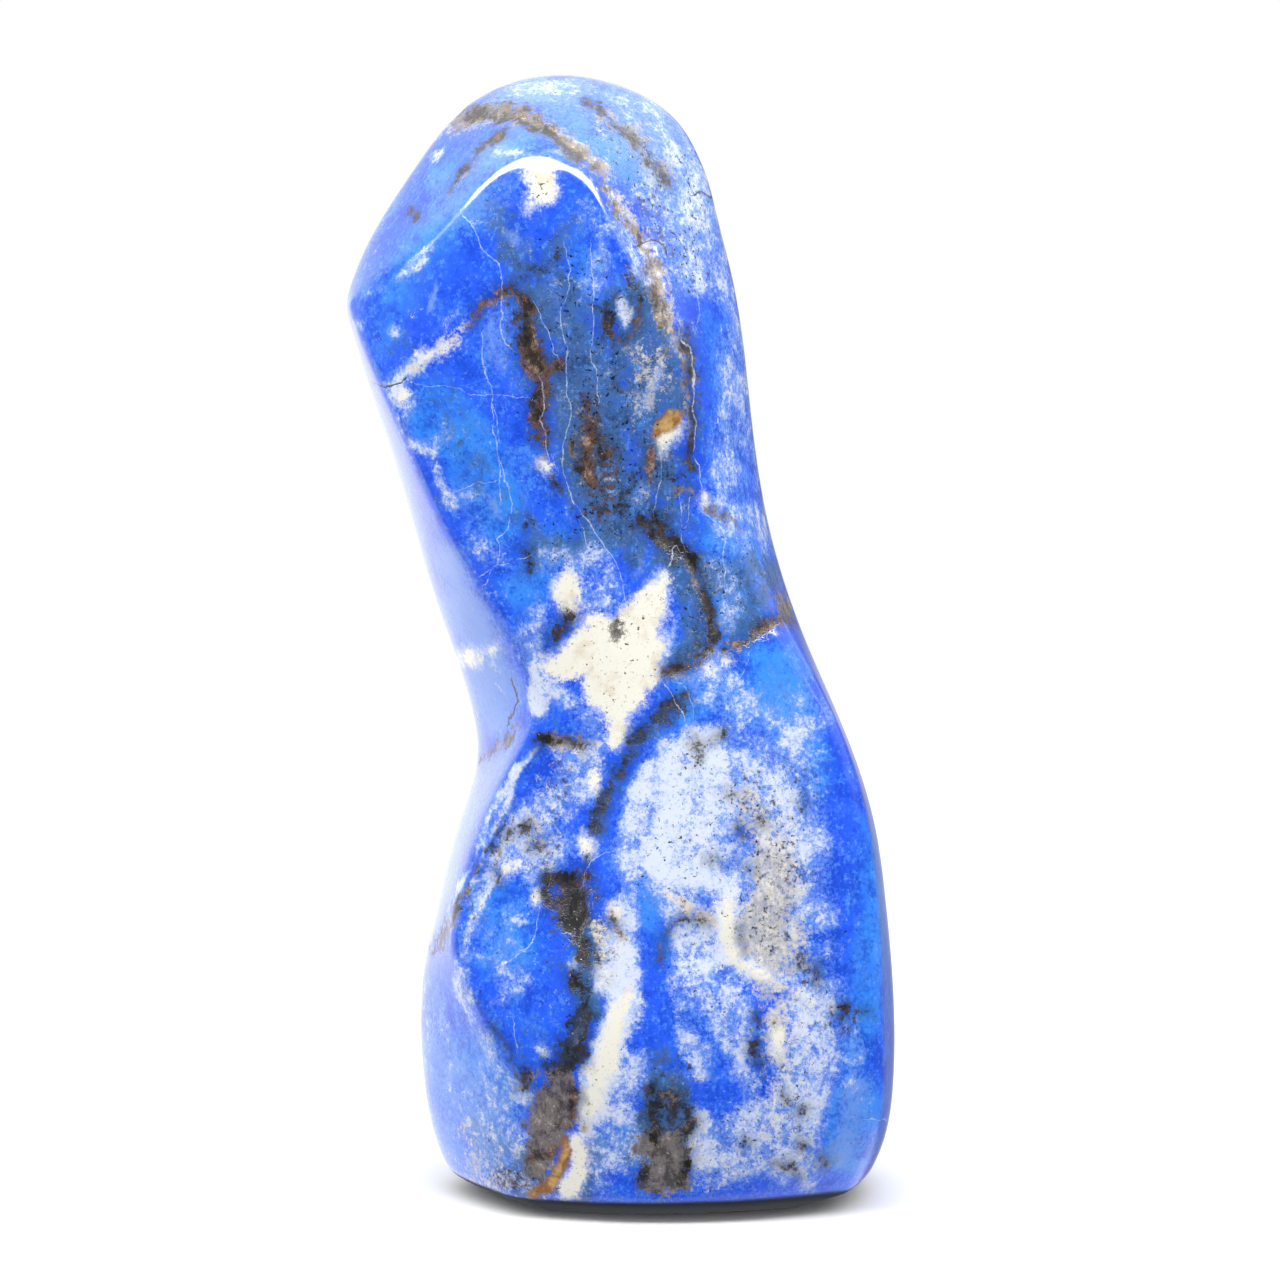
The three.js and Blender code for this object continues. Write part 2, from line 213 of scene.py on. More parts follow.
MARKINGS[Mineral.MILK] = (
    Mark("fan between cracks", ((-14.1, 96.6, 1.3), (-13.8, 92.2, 1.2)), 0.55, 0.9),
    Mark("pale cap mark", ((-12.3, 105.9, 0.55), (-11.8, 105.1, 0.44)), 0.9, 0.7),
    # Painted highlight: a thin pale streak where the face near the left of the arch catches the light.
    Mark("upper painted highlight streak", ((-20.6, 100.8, 0.16), (-20.9, 99.2, 0.27), (-21.3, 97.8, 0.33)), 0.9, 0.3),
    Mark("cap violet", ((-20.1, 109.7, 2.2), (-13.5, 113, 2.2), (-6.9, 113.6, 1.3),
        (-2.5, 117.4, 2)), 0.35, 2.6),
    Mark("cap top milk", ((-15.7, 119.4, 1.1), (-9.1, 121.6, 1.5), (-0.4, 120.2, 2), (5.1, 116.3, 2),
        (8.4, 109.7, 2.4), (10.1, 103.2, 1.8)), 0.8, 1.8),
    Mark("strip milk", ((12.3, 98.8, 1.8), (13.4, 90, 1.5), (13.9, 83.4, 1.3)), 0.4, 1.8),
    Mark("lens band milk", ((4.3, 91.7, 0.66), (3.5, 89.4, 0.77), (2.5, 87.5, 0.77),
        (1.6, 85.9, 0.55)), 0.8, 0.8),
    Mark("lens haze", ((2.4, 78.1, 0.99), (1.8, 76.8, 0.66)), 0.7, 0.9),
    Mark("streak by crack", ((-15.5, 78.2, 0.33), (-14.4, 76.5, 0.44), (-13.5, 74.4, 0.33)), 0.8, 0.5),
    Mark("streak by crack high", ((-6.1, 89.4, 0.33), (-6.7, 87.2, 0.33), (-6.9, 84.5, 0.22)), 0.3, 0.5),
    Mark("lower streak", ((0.7, 68.9, 0.33), (2.4, 70.6, 0.44)), 0.9, 0.5),
    Mark("shoulder light", ((15, 54.8, 1.8), (12.8, 52.6, 1.8)), 0.3, 2.2),
    Mark("heel milk", ((-16.8, 7.5, 2.9), (-15.7, 4.3, 2.4), (-13.5, 10.8, 1.5)), 0.8, 2),
    Mark("bulge milk", ((-20.6, 16.3, 2.4), (-19.6, 13, 2.9), (-18.4, 9.7, 2.9),
        (-16.8, 5.4, 2.9)), 0.85, 2.6),
    Mark("left flank milk", ((-17.7, 65.8, 2.2), (-15.7, 61.4, 2.4), (-14, 55.9, 2.9), (-13.5, 52.6, 2),
        (-19, 70.2, 1.5)), 1, 2.2),
    Mark("lower flank milk", ((-16.8, 43.8, 2.6), (-19, 35, 2.2)), 0.4, 2.2),
    Mark("band milk", ((-13.5, 96.6, 0.55), (-13, 93.8, 0.66)), 0.5, 0.7),
    Mark("white field milk", ((7.9, 47.1, 5.5), (8.4, 43.8, 6.6), (6.7, 40.1, 6.6), (4.9, 37.7, 5.5),
        (16.1, 41.6, 6.6), (17.2, 32.8, 5.5)), 0.5, 4.4),
    Mark("cap milk wide", ((-16.8, 109.7, 3.3), (-11.3, 117.4, 2.2), (-2.5, 118.5, 3.3), (5.1, 111.9, 3.7),
        (8.4, 104.3, 2.9)), 0.55, 4),
    Mark("bulge pale", ((-17.9, 11.9, 2.2), (-15.7, 7.5, 2.6), (-13.5, 4.3, 2.2)), 0.6, 2.4),
    Mark("right lower pale", ((25.8, 11.9, 1.8), (24.9, 7.5, 1.8), (24, 4.3, 1.3)), 0.7, 1.5),
)
MARKINGS[Mineral.FROST] = (
    Mark("cap right frost", ((-2.5, 119.4, 1.3), (2.9, 116.3, 2.6), (7.3, 111.9, 2.9), (9.5, 105.4, 2.9),
        (11.2, 99.9, 1.5)), 0.52, 2.2),
    Mark("cap right frost low", ((2.9, 110.8, 1.8), (4, 106.5, 1.8), (6.2, 103.2, 1.5),
        (8.4, 100.4, 1.3)), 0.62, 1.5),
    Mark("cap crest frost", ((-16.8, 119.4, 0.88), (-11.3, 122.1, 1.1), (-3.6, 121.6, 1.3),
        (2.9, 119.6, 1.3)), 0.42, 1.3),
    Mark("cap band frost", ((1.8, 109.7, 1.1), (3.5, 105.9, 0.99), (5.4, 102.9, 0.88)), 0.4, 1.5),
    Mark("face frost right", ((-3.6, 109.2, 1.3), (-2.5, 105.4, 1.5), (-2.8, 101, 1.8),
        (-5.3, 98.8, 1.3)), 0.3, 1.5),
    Mark("face frost edge", ((-0.1, 107, 0.88), (1, 102.9, 0.66), (1.8, 100.4, 0.66)), 0.5, 1.5),
    Mark("strip frost", ((11.3, 94.4, 1.3), (12.3, 88.9, 1.8), (11.5, 83.4, 2), (11.2, 79, 2),
        (12.3, 73.5, 2.2)), 0.44, 1.8),
    Mark("strip edge frost", ((13.1, 98.8, 0.88), (13.9, 90, 0.88), (15.3, 80.1, 0.88),
        (16.4, 71.8, 0.88)), 0.5, 1.5),
    Mark("strip patch", ((14.8, 76.1, 0.66), (15.5, 73.7, 0.66)), 0.62, 1.2),
    Mark("strip spot", ((12.1, 82.9, 0.55),), 0.66),
    Mark("left corner frost", ((-28.3, 99.2, 0.44), (-26.9, 100.1, 0.33), (-26.2, 100.3, 0.33)), 0.4),
    Mark("left corner speck", ((-29.1, 96.2, 0.55),), 0.66),
    Mark("left speck a", ((-25.3, 95.5, 0.66),), 0.66),
    # Painted highlight: white laid along the left end of the arch ridge, where the ridge catches the light.
    Mark("ridge painted highlight", ((-24.7, 101.2, 0.33), (-23.2, 102.5, 0.66), (-21.9, 103.6, 0.44),
        (-21, 104.6, 0.33)), 0.66),
    Mark("left vein frost", ((-17.3, 96, 0.33), (-19, 94.1, 0.55), (-21.2, 92.4, 0.88), (-23.6, 90.8, 1.1),
        (-25.8, 89.7, 0.66)), 0.55, 1.1),
    Mark("left vein dust", ((-18.5, 97.1, 1.1), (-19.6, 95.5, 1.3), (-17.7, 93.8, 1.1)), 0.25, 1.1),
    Mark("under crack frost", ((-24.5, 88.2, 1.1), (-23.2, 87.3, 0.88), (-24.6, 85.7, 0.44)), 0.66, 1.2),
    Mark("edge frost one", ((-24, 84.7, 0.44), (-23, 83.2, 0.66), (-21.1, 81.7, 0.77)), 0.66),
    Mark("edge frost two", ((-19.9, 83.7, 0.88), (-19.5, 84.5, 0.55)), 0.42, 1.2),
    Mark("edge frost three", ((-20.8, 80.1, 0.44), (-20.1, 78.5, 0.66), (-19.1, 77, 0.77),
        (-18.4, 75.5, 0.44)), 0.66),
    Mark("left face dust", ((-16.8, 76.8, 1.8), (-15.7, 72.4, 1.5), (-13.5, 70.2, 1.3)), 0.3, 1.5),
    Mark("low face frost", ((-8.6, 70.2, 1.3), (-3.6, 70.2, 2.2), (-1.5, 67.4, 1.5)), 0.42, 1.3),
    Mark("low left face frost", ((-9.1, 64.1, 0.88), (-10.8, 61.4, 1.1), (-9.7, 59.2, 0.88)), 0.6, 1.5),
    Mark("kite top halo", ((-6.3, 67.1, 1.6), (-4.2, 65.2, 1.1), (-1.5, 65.6, 0.88)), 0.66, 1.2),
    Mark("right of kite", ((5.4, 63.6, 0.66), (4, 58.3, 0.88), (5.7, 57.9, 0.66)), 0.55, 1.5),
    Mark("waist dust", ((10.6, 70.2, 1.8), (12.3, 66.9, 1.8), (8.4, 55.9, 1.1)), 0.3, 1.5),
    Mark("below vein frost", ((11.7, 58.6, 1.1), (12.3, 55.9, 1.3), (12.8, 52.6, 1.5),
        (11.2, 50.4, 1.3)), 0.55, 2.4),
    Mark("below vein specks", ((8.4, 55.9, 1.3), (10.6, 54.8, 1.1)), 0.4, 1.1),
    # Painted highlight: white frost along the right shoulder where its edge catches the light, with a faint
    # painted sheen beside it.
    Mark("shoulder painted highlight", ((18.3, 51, 0.44), (19.4, 51.7, 0.55), (20.7, 51.9, 0.55)), 0.66),
    Mark("shoulder painted sheen", ((19.4, 54.8, 1.5), (22.2, 52.6, 1.5)), 0.3, 1.5),
    Mark("valley rim frost", ((-7.2, 49.5, 0.44), (-5.3, 49.1, 0.44), (-2.8, 49.1, 0.66),
        (-2.1, 50.2, 0.66)), 0.66),
    Mark("c frost d", ((-4.2, 38.9, 0.88), (-4.1, 37.4, 0.55)), 0.66),
    Mark("blade frost a", ((-9.9, 49.1, 0.27), (-11.9, 45.8, 0.33), (-13.5, 42.5, 0.33), (-15.1, 38.3, 0.33),
        (-16.8, 33.9, 0.27)), 0.7, 0.3),
    Mark("blade frost b", ((-12.2, 40.5, 0.33), (-13.5, 37, 0.44), (-15.1, 33.9, 0.55), (-16.4, 31.5, 0.44),
        (-17.4, 28.4, 0.33)), 0.8, 0.3),
    Mark("blade frost c", ((-11.3, 47.7, 0.33), (-13.8, 43.8, 0.44), (-15.7, 39.4, 0.44), (-17.7, 35, 0.33),
        (-19.5, 29.5, 0.33)), 0.6, 0.4),
    Mark("panel frost a", ((-12.7, 31.1, 0.66), (-11.3, 30.4, 0.44)), 0.66),
    Mark("panel frost b", ((-13.8, 29, 0.55), (-13, 27.8, 0.44)), 0.66),
    Mark("panel frost c", ((-13.1, 25.4, 0.55), (-12.4, 24.6, 0.55), (-11.3, 23.9, 0.99),
        (-13.1, 23, 0.55)), 0.66),
    Mark("panel frost d", ((-13.1, 21.5, 0.44), (-14.6, 21.3, 0.33)), 0.6),
    Mark("panel frost e", ((-15.7, 27.1, 0.44),), 0.6),
    Mark("panel pale spot", ((-9, 16.2, 0.66),), 0.66),
    Mark("heel patch", ((-11, 11.3, 0.88), (-10.6, 10.6, 0.77)), 0.66),
    Mark("right flecks", ((21.1, 31.9, 0.77), (22.3, 30.5, 0.55)), 0.66),
    Mark("front white a", ((0.1, 32.3, 0.88), (0.3, 30.1, 0.99), (-0.6, 27.9, 1.1),
        (-2.1, 26.8, 0.88)), 0.66),
    Mark("front white b", ((-2.5, 25.4, 0.88), (-3.2, 22.9, 0.66)), 0.66),
    Mark("front white c", ((0.1, 26.6, 0.77), (0.5, 24, 0.77), (-1.2, 23.5, 0.88)), 0.66),
    Mark("stem flecks", ((-5.3, 26, 0.66), (-3.6, 25.4, 0.55)), 0.66),
    Mark("flank white a", ((-21.3, 114.6, 0.44), (-20, 115.2, 0.44)), 0.8, 0.4),
    # Painted highlight: a white patch on the cap where it catches the light.
    Mark("cap painted highlight patch", ((5.4, 115.8, 0.66), (5.4, 114.6, 0.77), (5.5, 113.7, 0.55)), 0.7, 0.8),
    Mark("cap pale band", ((-14, 114.9, 0.55), (-10.2, 114.9, 0.77), (-6.9, 114.9, 0.55)), 0.5, 0.7),
    Mark("white field", ((7.9, 47.1, 3.7), (8.4, 43.8, 4.6), (6.7, 40.1, 5.1), (4.9, 37.7, 4.2),
        (8.4, 36.6, 3.7)), 0.86, 2.9),
    Mark("white field rim", ((4, 46.6, 0.55), (1.8, 43.3, 0.66), (0.3, 40, 0.77), (-0.1, 37, 0.88),
        (1.2, 35, 0.77)), 0.8, 1.3),
    Mark("white field top", ((7.3, 50.2, 1.3), (9.8, 50.4, 1.5)), 0.7, 1.8),
    Mark("speckled field", ((15, 48.2, 2.9), (17.2, 43.8, 3.7), (17.8, 38.3, 4.2), (17.2, 32.8, 4),
        (16.1, 27.9, 3.7)), 0.74, 3.7),
    Mark("speckled top", ((11.7, 54.8, 2.2), (16.1, 51.5, 2.6), (19.4, 48.2, 2)), 0.42, 2.9),
    Mark("speckled right rim", ((21.8, 37.2, 0.88), (22.3, 31.7, 0.88), (22.9, 26.2, 0.99),
        (23.4, 20.7, 1.1), (22.7, 15.2, 0.99), (21.4, 9.7, 1.1)), 0.45, 1.8),
    Mark("below field", ((5.4, 32.8, 1.8), (7.3, 29.5, 2.4), (8.4, 26.2, 2.6)), 0.76, 2.4),
    Mark("diagonal frost a", ((7.3, 23.5, 1.4), (9.8, 20.7, 1.5), (11.7, 17.4, 1.3), (13.7, 13.6, 1.1),
        (14.6, 10.8, 0.88)), 0.62, 2.4),
    Mark("diagonal frost b", ((4.9, 22.9, 1.1), (6.2, 19.6, 1.3), (7.6, 16.3, 1.3),
        (8.4, 13.6, 1.1)), 0.55, 1.5),
    Mark("diagonal frost c", ((11.1, 23.5, 1.3), (13.3, 20.7, 1.3), (14.8, 17.4, 1.1)), 0.62, 1.5),
    Mark("front right broad", ((19.4, 23.5, 1.5), (19.9, 19.6, 2.2), (19.4, 15.2, 2.2), (17.9, 10.8, 2.6),
        (16.1, 7.5, 2.9)), 0.76, 2.9),
    Mark("foot broad", ((9, 8.6, 2), (10.1, 4.3, 2.6), (15, 5.4, 2.9), (19.4, 3.7, 2.4)), 0.74, 2.6),
    Mark("column frost", ((0.1, 32.3, 1.1), (-0.1, 29, 1.8), (0.1, 25.7, 1.8),
        (-0.6, 22.9, 1.5)), 0.72, 1.8),
    Mark("column frost low", ((1.8, 15.2, 1.1), (0.7, 13, 1.8), (-0.6, 9.7, 2), (-1.2, 5.4, 2),
        (-2.5, 2.1, 1.5)), 0.56, 2.2),
    Mark("valley speckle", ((-6.9, 49.3, 1.5), (-5.3, 47.7, 2.2), (-6.9, 44.9, 2.4), (-9.1, 42.2, 2.4),
        (-10.2, 39.4, 2), (-8.6, 36.7, 2)), 0.56, 2.4),
    Mark("valley speckle b", ((-3.4, 49.9, 0.88), (-3, 46.6, 0.99), (-3.9, 43.8, 0.88)), 0.66, 1.3),
    Mark("valley speckle c", ((-13.5, 37.2, 1.1), (-10.2, 36.7, 1.5), (-6.9, 38.3, 1.3)), 0.6, 1.8),
    Mark("kite halo", ((-8.6, 58.3, 0.66), (-7.4, 55.9, 0.88), (-4.5, 53.5, 0.88),
        (-2.5, 51, 0.88)), 0.62, 1.3),
    Mark("panel speckle", ((-12.4, 32.3, 1.5), (-13.5, 29, 2), (-12.2, 24.6, 1.8)), 0.28, 2.4),
    Mark("panel edge speckle", ((-16, 32.8, 0.66), (-17.3, 28.4, 0.77), (-17.7, 23.5, 0.77),
        (-16.8, 19.6, 0.88), (-14.6, 16.3, 0.88), (-12.7, 13, 0.88)), 0.5, 1.3),
    Mark("bulge speckle", ((-21.2, 21.8, 1.5), (-19.6, 15.2, 2.4), (-16.8, 9.7, 2.9),
        (-13.5, 5.4, 2.4)), 0.36, 3.7),
    Mark("royal diagonal", ((7.3, 12.5, 0.77), (8.7, 11.3, 0.88), (10.2, 9.5, 0.77)), 0.1, 0.9),
    Mark("royal notch", ((9.1, 32.3, 0.55), (10.2, 30.6, 0.55), (10.9, 29, 0.44)), 0.2, 0.9),
    Mark("royal slot", ((16.1, 21.8, 0.55), (15.3, 18.5, 0.77), (15.5, 15.2, 0.77),
        (15.9, 11.9, 0.66)), 0.12, 0.9),
    Mark("royal slit", ((2.5, 33.9, 0.88), (3.2, 29.5, 0.99), (3.5, 25.1, 0.99),
        (4.3, 20.7, 0.99)), 0.05, 1.3),
    Mark("ring pale", ((-0.5, 98.8, 0.44), (0, 97.4, 0.77), (0.3, 96.1, 0.55)), 0.75, 0.5),
    Mark("column pale", ((-0.4, 26.2, 1.5), (-1, 24, 1.8), (1, 21.8, 1.3), (0.7, 19.6, 1.1)), 0.9, 1.1),
    Mark("foot taupe gap", ((1.8, 6.5, 0.44), (1.4, 4.3, 0.55)), 0.5, 0.7),
    Mark("pillar solid", ((11.5, 34.1, 0.88), (11.4, 32.3, 1.3), (11.3, 29.5, 1.4), (11.8, 26.8, 1.3),
        (13.9, 25.4, 0.88)), 1, 1.1),
    Mark("field bright", ((6.2, 48.2, 2.4), (8.4, 49.3, 2.4), (9.8, 48.2, 2)), 1, 1.5),
    Mark("bulge frost", ((-13.5, 9.7, 1.8), (-12.4, 7.5, 1.5), (-15.1, 11.9, 1.5)), 0.5, 2),
    Mark("white between", ((8.4, 29.1, 1.5), (7.3, 27.1, 1.5), (9.8, 26.6, 1.1)), 0.7, 1.5),
    Mark("window frost", ((21.6, 17.4, 1.3), (21.2, 13, 1.5), (20.1, 8.6, 1.8)), 0.6, 1.8),
    Mark("right azure specks", ((24.5, 19.6, 1.3), (25.8, 16.3, 1.1), (25.1, 11.9, 1.1)), 0.45, 1.5),
    Mark("lower right lights", ((16.1, 5.4, 2), (19.4, 7.5, 2), (12.8, 7.5, 1.5)), 0.62, 1.8),
    Mark("stringer side lights", ((3.2, 48.2, 0.55), (1.8, 44.9, 0.66), (0.5, 41.6, 0.66)), 0.85, 0.9),
    Mark("field islands", ((14.6, 41.6, 0.55), (16.1, 36.1, 0.55), (18.3, 31.7, 0.55),
        (13.9, 32.8, 0.44)), 0.2, 0.7),
    Mark("column wash", ((0.3, 22.9, 0.88), (-0.4, 20.7, 1.4), (-1.2, 17.9, 1.9), (-2.1, 15, 1.9),
        (-3, 12.4, 1.6), (-3.6, 9.7, 1.3), (-4.1, 7.5, 0.88)), 0.9, 0.9),
    Mark("waist left frost", ((-9.6, 60.5, 0.88), (-9.4, 57, 0.88), (-9.1, 53.5, 0.88)), 0.85, 0.9),
    Mark("blade frost wide", ((-12, 42.1, 1.1), (-13.5, 38.3, 1.1), (-15.1, 34.6, 1.1)), 0.6, 1.1),
    Mark("flank pale", ((-15.7, 60.3, 1.3), (-13.5, 55.9, 1.3)), 0.3, 1.5),
    Mark("royal slots", ((2.9, 32.3, 0.88), (3.5, 27.3, 0.99), (4, 22.9, 0.99), (4.9, 18.5, 0.88)), 0, 0.7),
)
MARKINGS[Mineral.MOTTLE] = (
    Mark("foot mottle b", ((10.1, 3.2, 1.8), (13.4, 2.1, 1.5), (9, 1, 1.3)), 0.4, 1.3),
    Mark("cap mottle", ((3.5, 108.1, 0.66), (4.3, 105.9, 0.55)), 0.35, 0.7),
    Mark("valley mottle", ((-10.2, 40.3, 0.88), (-9.1, 38.9, 0.88), (-8.3, 37.2, 0.99)), 0.7, 0.5),
    Mark("stem mottle", ((-2.8, 30.1, 0.99), (-2.3, 27.9, 0.88), (-3.1, 26.8, 0.66)), 0.75, 0.5),
    Mark("face mottle", ((2.4, 93.3, 1.5), (2.9, 90.5, 0.88), (0.7, 93.8, 0.88)), 0.5, 1.3),
    Mark("heel mottle", ((-11.3, 1, 1.8), (-8.6, 0.7, 1.3), (-6.9, 1.5, 0.88)), 0.5, 1.1),
    Mark("mottle wide", ((13.4, 44.9, 1.5), (15.6, 41.6, 2.2), (16.7, 37.2, 2.9), (16.7, 31.7, 2.9),
        (15.6, 27.3, 2.4)), 0.62, 2.9),
    Mark("mottle lower", ((17.2, 23.5, 2.2), (19.4, 20.7, 2.2), (18.3, 15.2, 2.2), (16.7, 8.6, 2.4),
        (19.4, 5.4, 2.2)), 0.46, 2.9),
    Mark("mottle valley", ((-6.9, 48.2, 1.8), (-9.1, 43.8, 1.8), (-10.2, 40, 1.8), (-8.6, 37, 1.5)), 0.5, 2),
    Mark("mottle column", ((-0.6, 29.5, 1.5), (-1.2, 26.2, 1.1), (-3, 26.2, 0.88)), 0.55, 1.3),
    Mark("mottle cap", ((-2.5, 118.5, 1.3), (2.9, 114.1, 2.2), (4, 107.5, 2), (1.8, 109.7, 1.5)), 0.42, 2.2),
    Mark("lip tan mottle", ((4.9, 33.3, 0.88), (6.7, 32.4, 0.99), (8.4, 31.3, 0.99),
        (10.2, 30.2, 0.77)), 0.8, 0.9),
    Mark("olive flecks", ((-4.3, 85.6, 1.3), (-2.8, 82.3, 1.5), (-1.9, 79, 1.3)), 0.32, 1.5),
    Mark("arch red dust", ((-10.9, 93.3, 1.1), (-9.1, 88.9, 0.88)), 0.3, 1.1),
)
MARKINGS[Mineral.DUN] = (
    Mark("cream wash", ((13.9, 43.8, 1.5), (16.4, 39.4, 2.2), (16.8, 33.9, 2.9), (15.5, 29.5, 2.6),
        (16.4, 26.2, 2)), 0.85, 2.4),
    Mark("cream wash low", ((17.2, 20.7, 1.3), (17.2, 17.4, 1.3), (16.8, 13, 1.1),
        (16.1, 7.5, 1.5)), 0.4, 1.8),
    Mark("cap band dun", ((-19.5, 118, 0.99), (-16.8, 118.8, 0.99), (-13.5, 119.4, 0.99),
        (-10.2, 118.8, 0.99), (-7.4, 117, 0.88), (-5.4, 115.2, 0.88), (-3.2, 114, 0.88),
        (-1.7, 112.6, 0.77)), 0.75, 1.1),
    Mark("cap band dun right", ((-1, 110.2, 0.77), (0.7, 107.1, 0.99), (2.4, 104.3, 0.99), (3.4, 101.2, 1.2),
        (4.2, 98.2, 1.1), (5.4, 95.7, 0.88), (6.7, 94.4, 0.66)), 0.8, 1.1),
    Mark("branch dun", ((-12.7, 117.7, 0.66), (-14.4, 116.1, 0.77), (-16.2, 114.4, 0.77),
        (-17.9, 111.9, 0.77), (-19, 110.4, 0.55)), 0.45, 1.1),
    Mark("stain dun", ((-3.6, 120.3, 0.99), (-1.2, 118.4, 1.2), (1.2, 116.8, 1.3), (2.7, 114.8, 1.2),
        (4.5, 112.6, 0.99)), 0.6, 1.4),
    Mark("lens band dun", ((4.6, 92.2, 0.77), (3.9, 90.2, 0.99), (2.7, 88.2, 0.99), (1.5, 86.5, 0.77),
        (0.7, 85.1, 0.55)), 0.5, 1.5),
    Mark("face haze dun", ((1.8, 93.8, 1.1), (3.2, 92.4, 1.3), (2.4, 90, 1.1)), 0.55, 1.8),
    Mark("mass dun", ((-3.9, 86.5, 1.1), (-3.4, 83.4, 1.5), (-3.9, 80.1, 1.5), (-1.9, 79, 1.5)), 0.5, 1.8),
    Mark("left vein dun", ((-16.8, 96.6, 0.44), (-18.2, 95.4, 0.55), (-19.7, 93.9, 0.66),
        (-21.5, 92.2, 0.66), (-23, 91.1, 0.55)), 0.8, 0.8),
    Mark("upright dun", ((2.9, 83.4, 0.88), (3.2, 80.1, 0.99), (2.7, 76.8, 0.88)), 0.4, 1.1),
    Mark("outer band dun", ((6.7, 93.8, 0.55), (7.2, 90.5, 0.66), (7.2, 85.6, 0.66),
        (7.3, 81.2, 0.55)), 0.55, 0.8),
    Mark("waist vein dun", ((4.5, 58, 0.55), (8.4, 59.7, 0.55), (12.8, 61.1, 0.66),
        (16.8, 63.6, 0.66)), 0.55, 0.8),
    Mark("central dun", ((1.8, 74.6, 0.66), (4, 73.5, 0.88), (6.8, 70.8, 0.88), (8.8, 66.9, 0.77),
        (9.2, 61.4, 0.77)), 0.4),
    Mark("foot dun", ((3.5, 5.4, 2.4), (4.5, 2.1, 2.6), (7.3, 4.3, 1.1)), 0.6, 1.5),
    Mark("heel dun", ((-7.8, 10.8, 1.8), (-8.6, 6.5, 2), (-10.5, 2.1, 1.8)), 0.6, 1.5),
    Mark("scar dun", ((12.3, 31.2, 1.8), (15, 28.4, 2.4), (18.3, 26.8, 2.2), (19.4, 29.5, 1.3)), 0.6, 1.3),
    Mark("stem dun", ((-4.7, 33.9, 1.8), (-5.4, 30.6, 1.5), (-4.3, 27.3, 0.88), (-3, 24.6, 1.1)), 0.45, 1.1),
    Mark("valley dun", ((-8.3, 50.4, 0.88), (-5.3, 50, 0.88), (-2.5, 50.2, 0.88)), 0.5, 0.9),
    Mark("oval dun", ((-9.1, 112.2, 1.9), (-9, 110.8, 1.4)), 0.6, 0.7),
    Mark("pillar below dun", ((15.5, 22.9, 1.1), (16.8, 21, 1.3), (17.1, 17.9, 1.3),
        (16.9, 15.2, 0.88)), 0.7, 1.3),
    Mark("field bright dun", ((7.1, 49.1, 1.5), (9.1, 50, 1.3), (10.4, 49.5, 0.88)), 0.6, 1.3),
    Mark("bulge tan", ((-17.7, 8.6, 1.5), (-16.8, 5.4, 1.5), (-14.6, 2.5, 1.3), (-13.5, 5.4, 1.1)), 0.45, 2),
    Mark("column light", ((-2.8, 29, 1.1), (-2.5, 26.2, 1.1), (-1.9, 23.5, 1.1)), 0.55, 1.1),
    Mark("lip tan new", ((5.4, 33, 0.88), (6.7, 32.2, 1.1), (8.4, 31.5, 1.1), (10, 30.6, 0.88)), 0.6, 1.1),
    Mark("beige band", ((4.5, 92.2, 0.88), (3.8, 90.2, 1.1), (2.7, 88.3, 1.1),
        (1.6, 86.7, 0.77)), 0.62, 1.5),
    Mark("heel tan", ((-16.8, 2.5, 1.1), (-14.6, 1.6, 1.1), (-12.2, 1.2, 0.88)), 0.55, 1.1),
    Mark("column dust", ((-3.2, 12.4, 0.88), (-3.9, 10.4, 0.99), (-4.5, 8.4, 0.99)), 0.9, 0.9),
    Mark("right face grey", ((7.3, 95.5, 0.44), (8.1, 90, 0.44), (7.3, 83.4, 0.44)), 0.3, 0.9),
    Mark("yellow wash", ((15.9, 32.8, 2), (15.5, 29.5, 1.8), (16.1, 27.3, 1.3)), 1.1, 1.5),
)
MARKINGS[Mineral.PEPPER] = (
    Mark("kite pepper", ((1.8, 64.7, 2.2), (-0.4, 60.3, 4.4), (-0.9, 54.8, 2.6)), 0.75, 0.9),
    Mark("field pepper", ((8.4, 47.1, 3.3), (8.4, 40.5, 5.1), (6.2, 36.1, 4.4), (11.7, 35, 4.4)), 0.9, 1.8),
    Mark("field pepper right", ((16.1, 43.8, 4.4), (17.2, 37.2, 4), (15, 29.5, 4)), 0.95, 1.8),
    Mark("scar pepper", ((7.3, 27.3, 2.6), (10.6, 24, 2.6), (10.6, 17.4, 2.6)), 0.7, 1.5),
    Mark("foot pepper", ((15, 7.5, 4.4), (19.4, 16.3, 3.3), (10.6, 4.3, 3.3)), 0.8, 2.2),
    Mark("cap pepper", ((-2.5, 117.4, 2.2), (3.5, 110.8, 2.9), (6.2, 105.4, 2.9), (8.4, 99.9, 1.5),
        (7.3, 114.1, 2.6)), 1.6, 2.2),
    Mark("lower left pepper", ((-8.6, 38.3, 2.6), (-6.9, 10.8, 3.3), (-13.5, 7.5, 2.6),
        (-9.1, 2.1, 2.2)), 0.7, 1.5),
    Mark("spot pepper", ((-9.1, 111.9, 1.8),), 1.8, 0.3),
    Mark("strip pepper", ((12.3, 95.5, 1.8), (12.8, 79, 2.2)), 0.4, 1.8),
    Mark("right pepper", ((22.7, 21.8, 3.3), (24.9, 28.4, 2.2)), 0.7, 1.5),
    Mark("face pepper", ((-6.9, 103.2, 3.3), (-3.6, 95.5, 4.4), (-1.5, 85.6, 5.5), (1.8, 76.8, 4.4),
        (-6.9, 72.4, 3.3)), 1.3, 3.3),
    Mark("waist pepper", ((8.4, 65.8, 4.4), (12.8, 70.2, 3.3)), 1.2, 2.2),
)
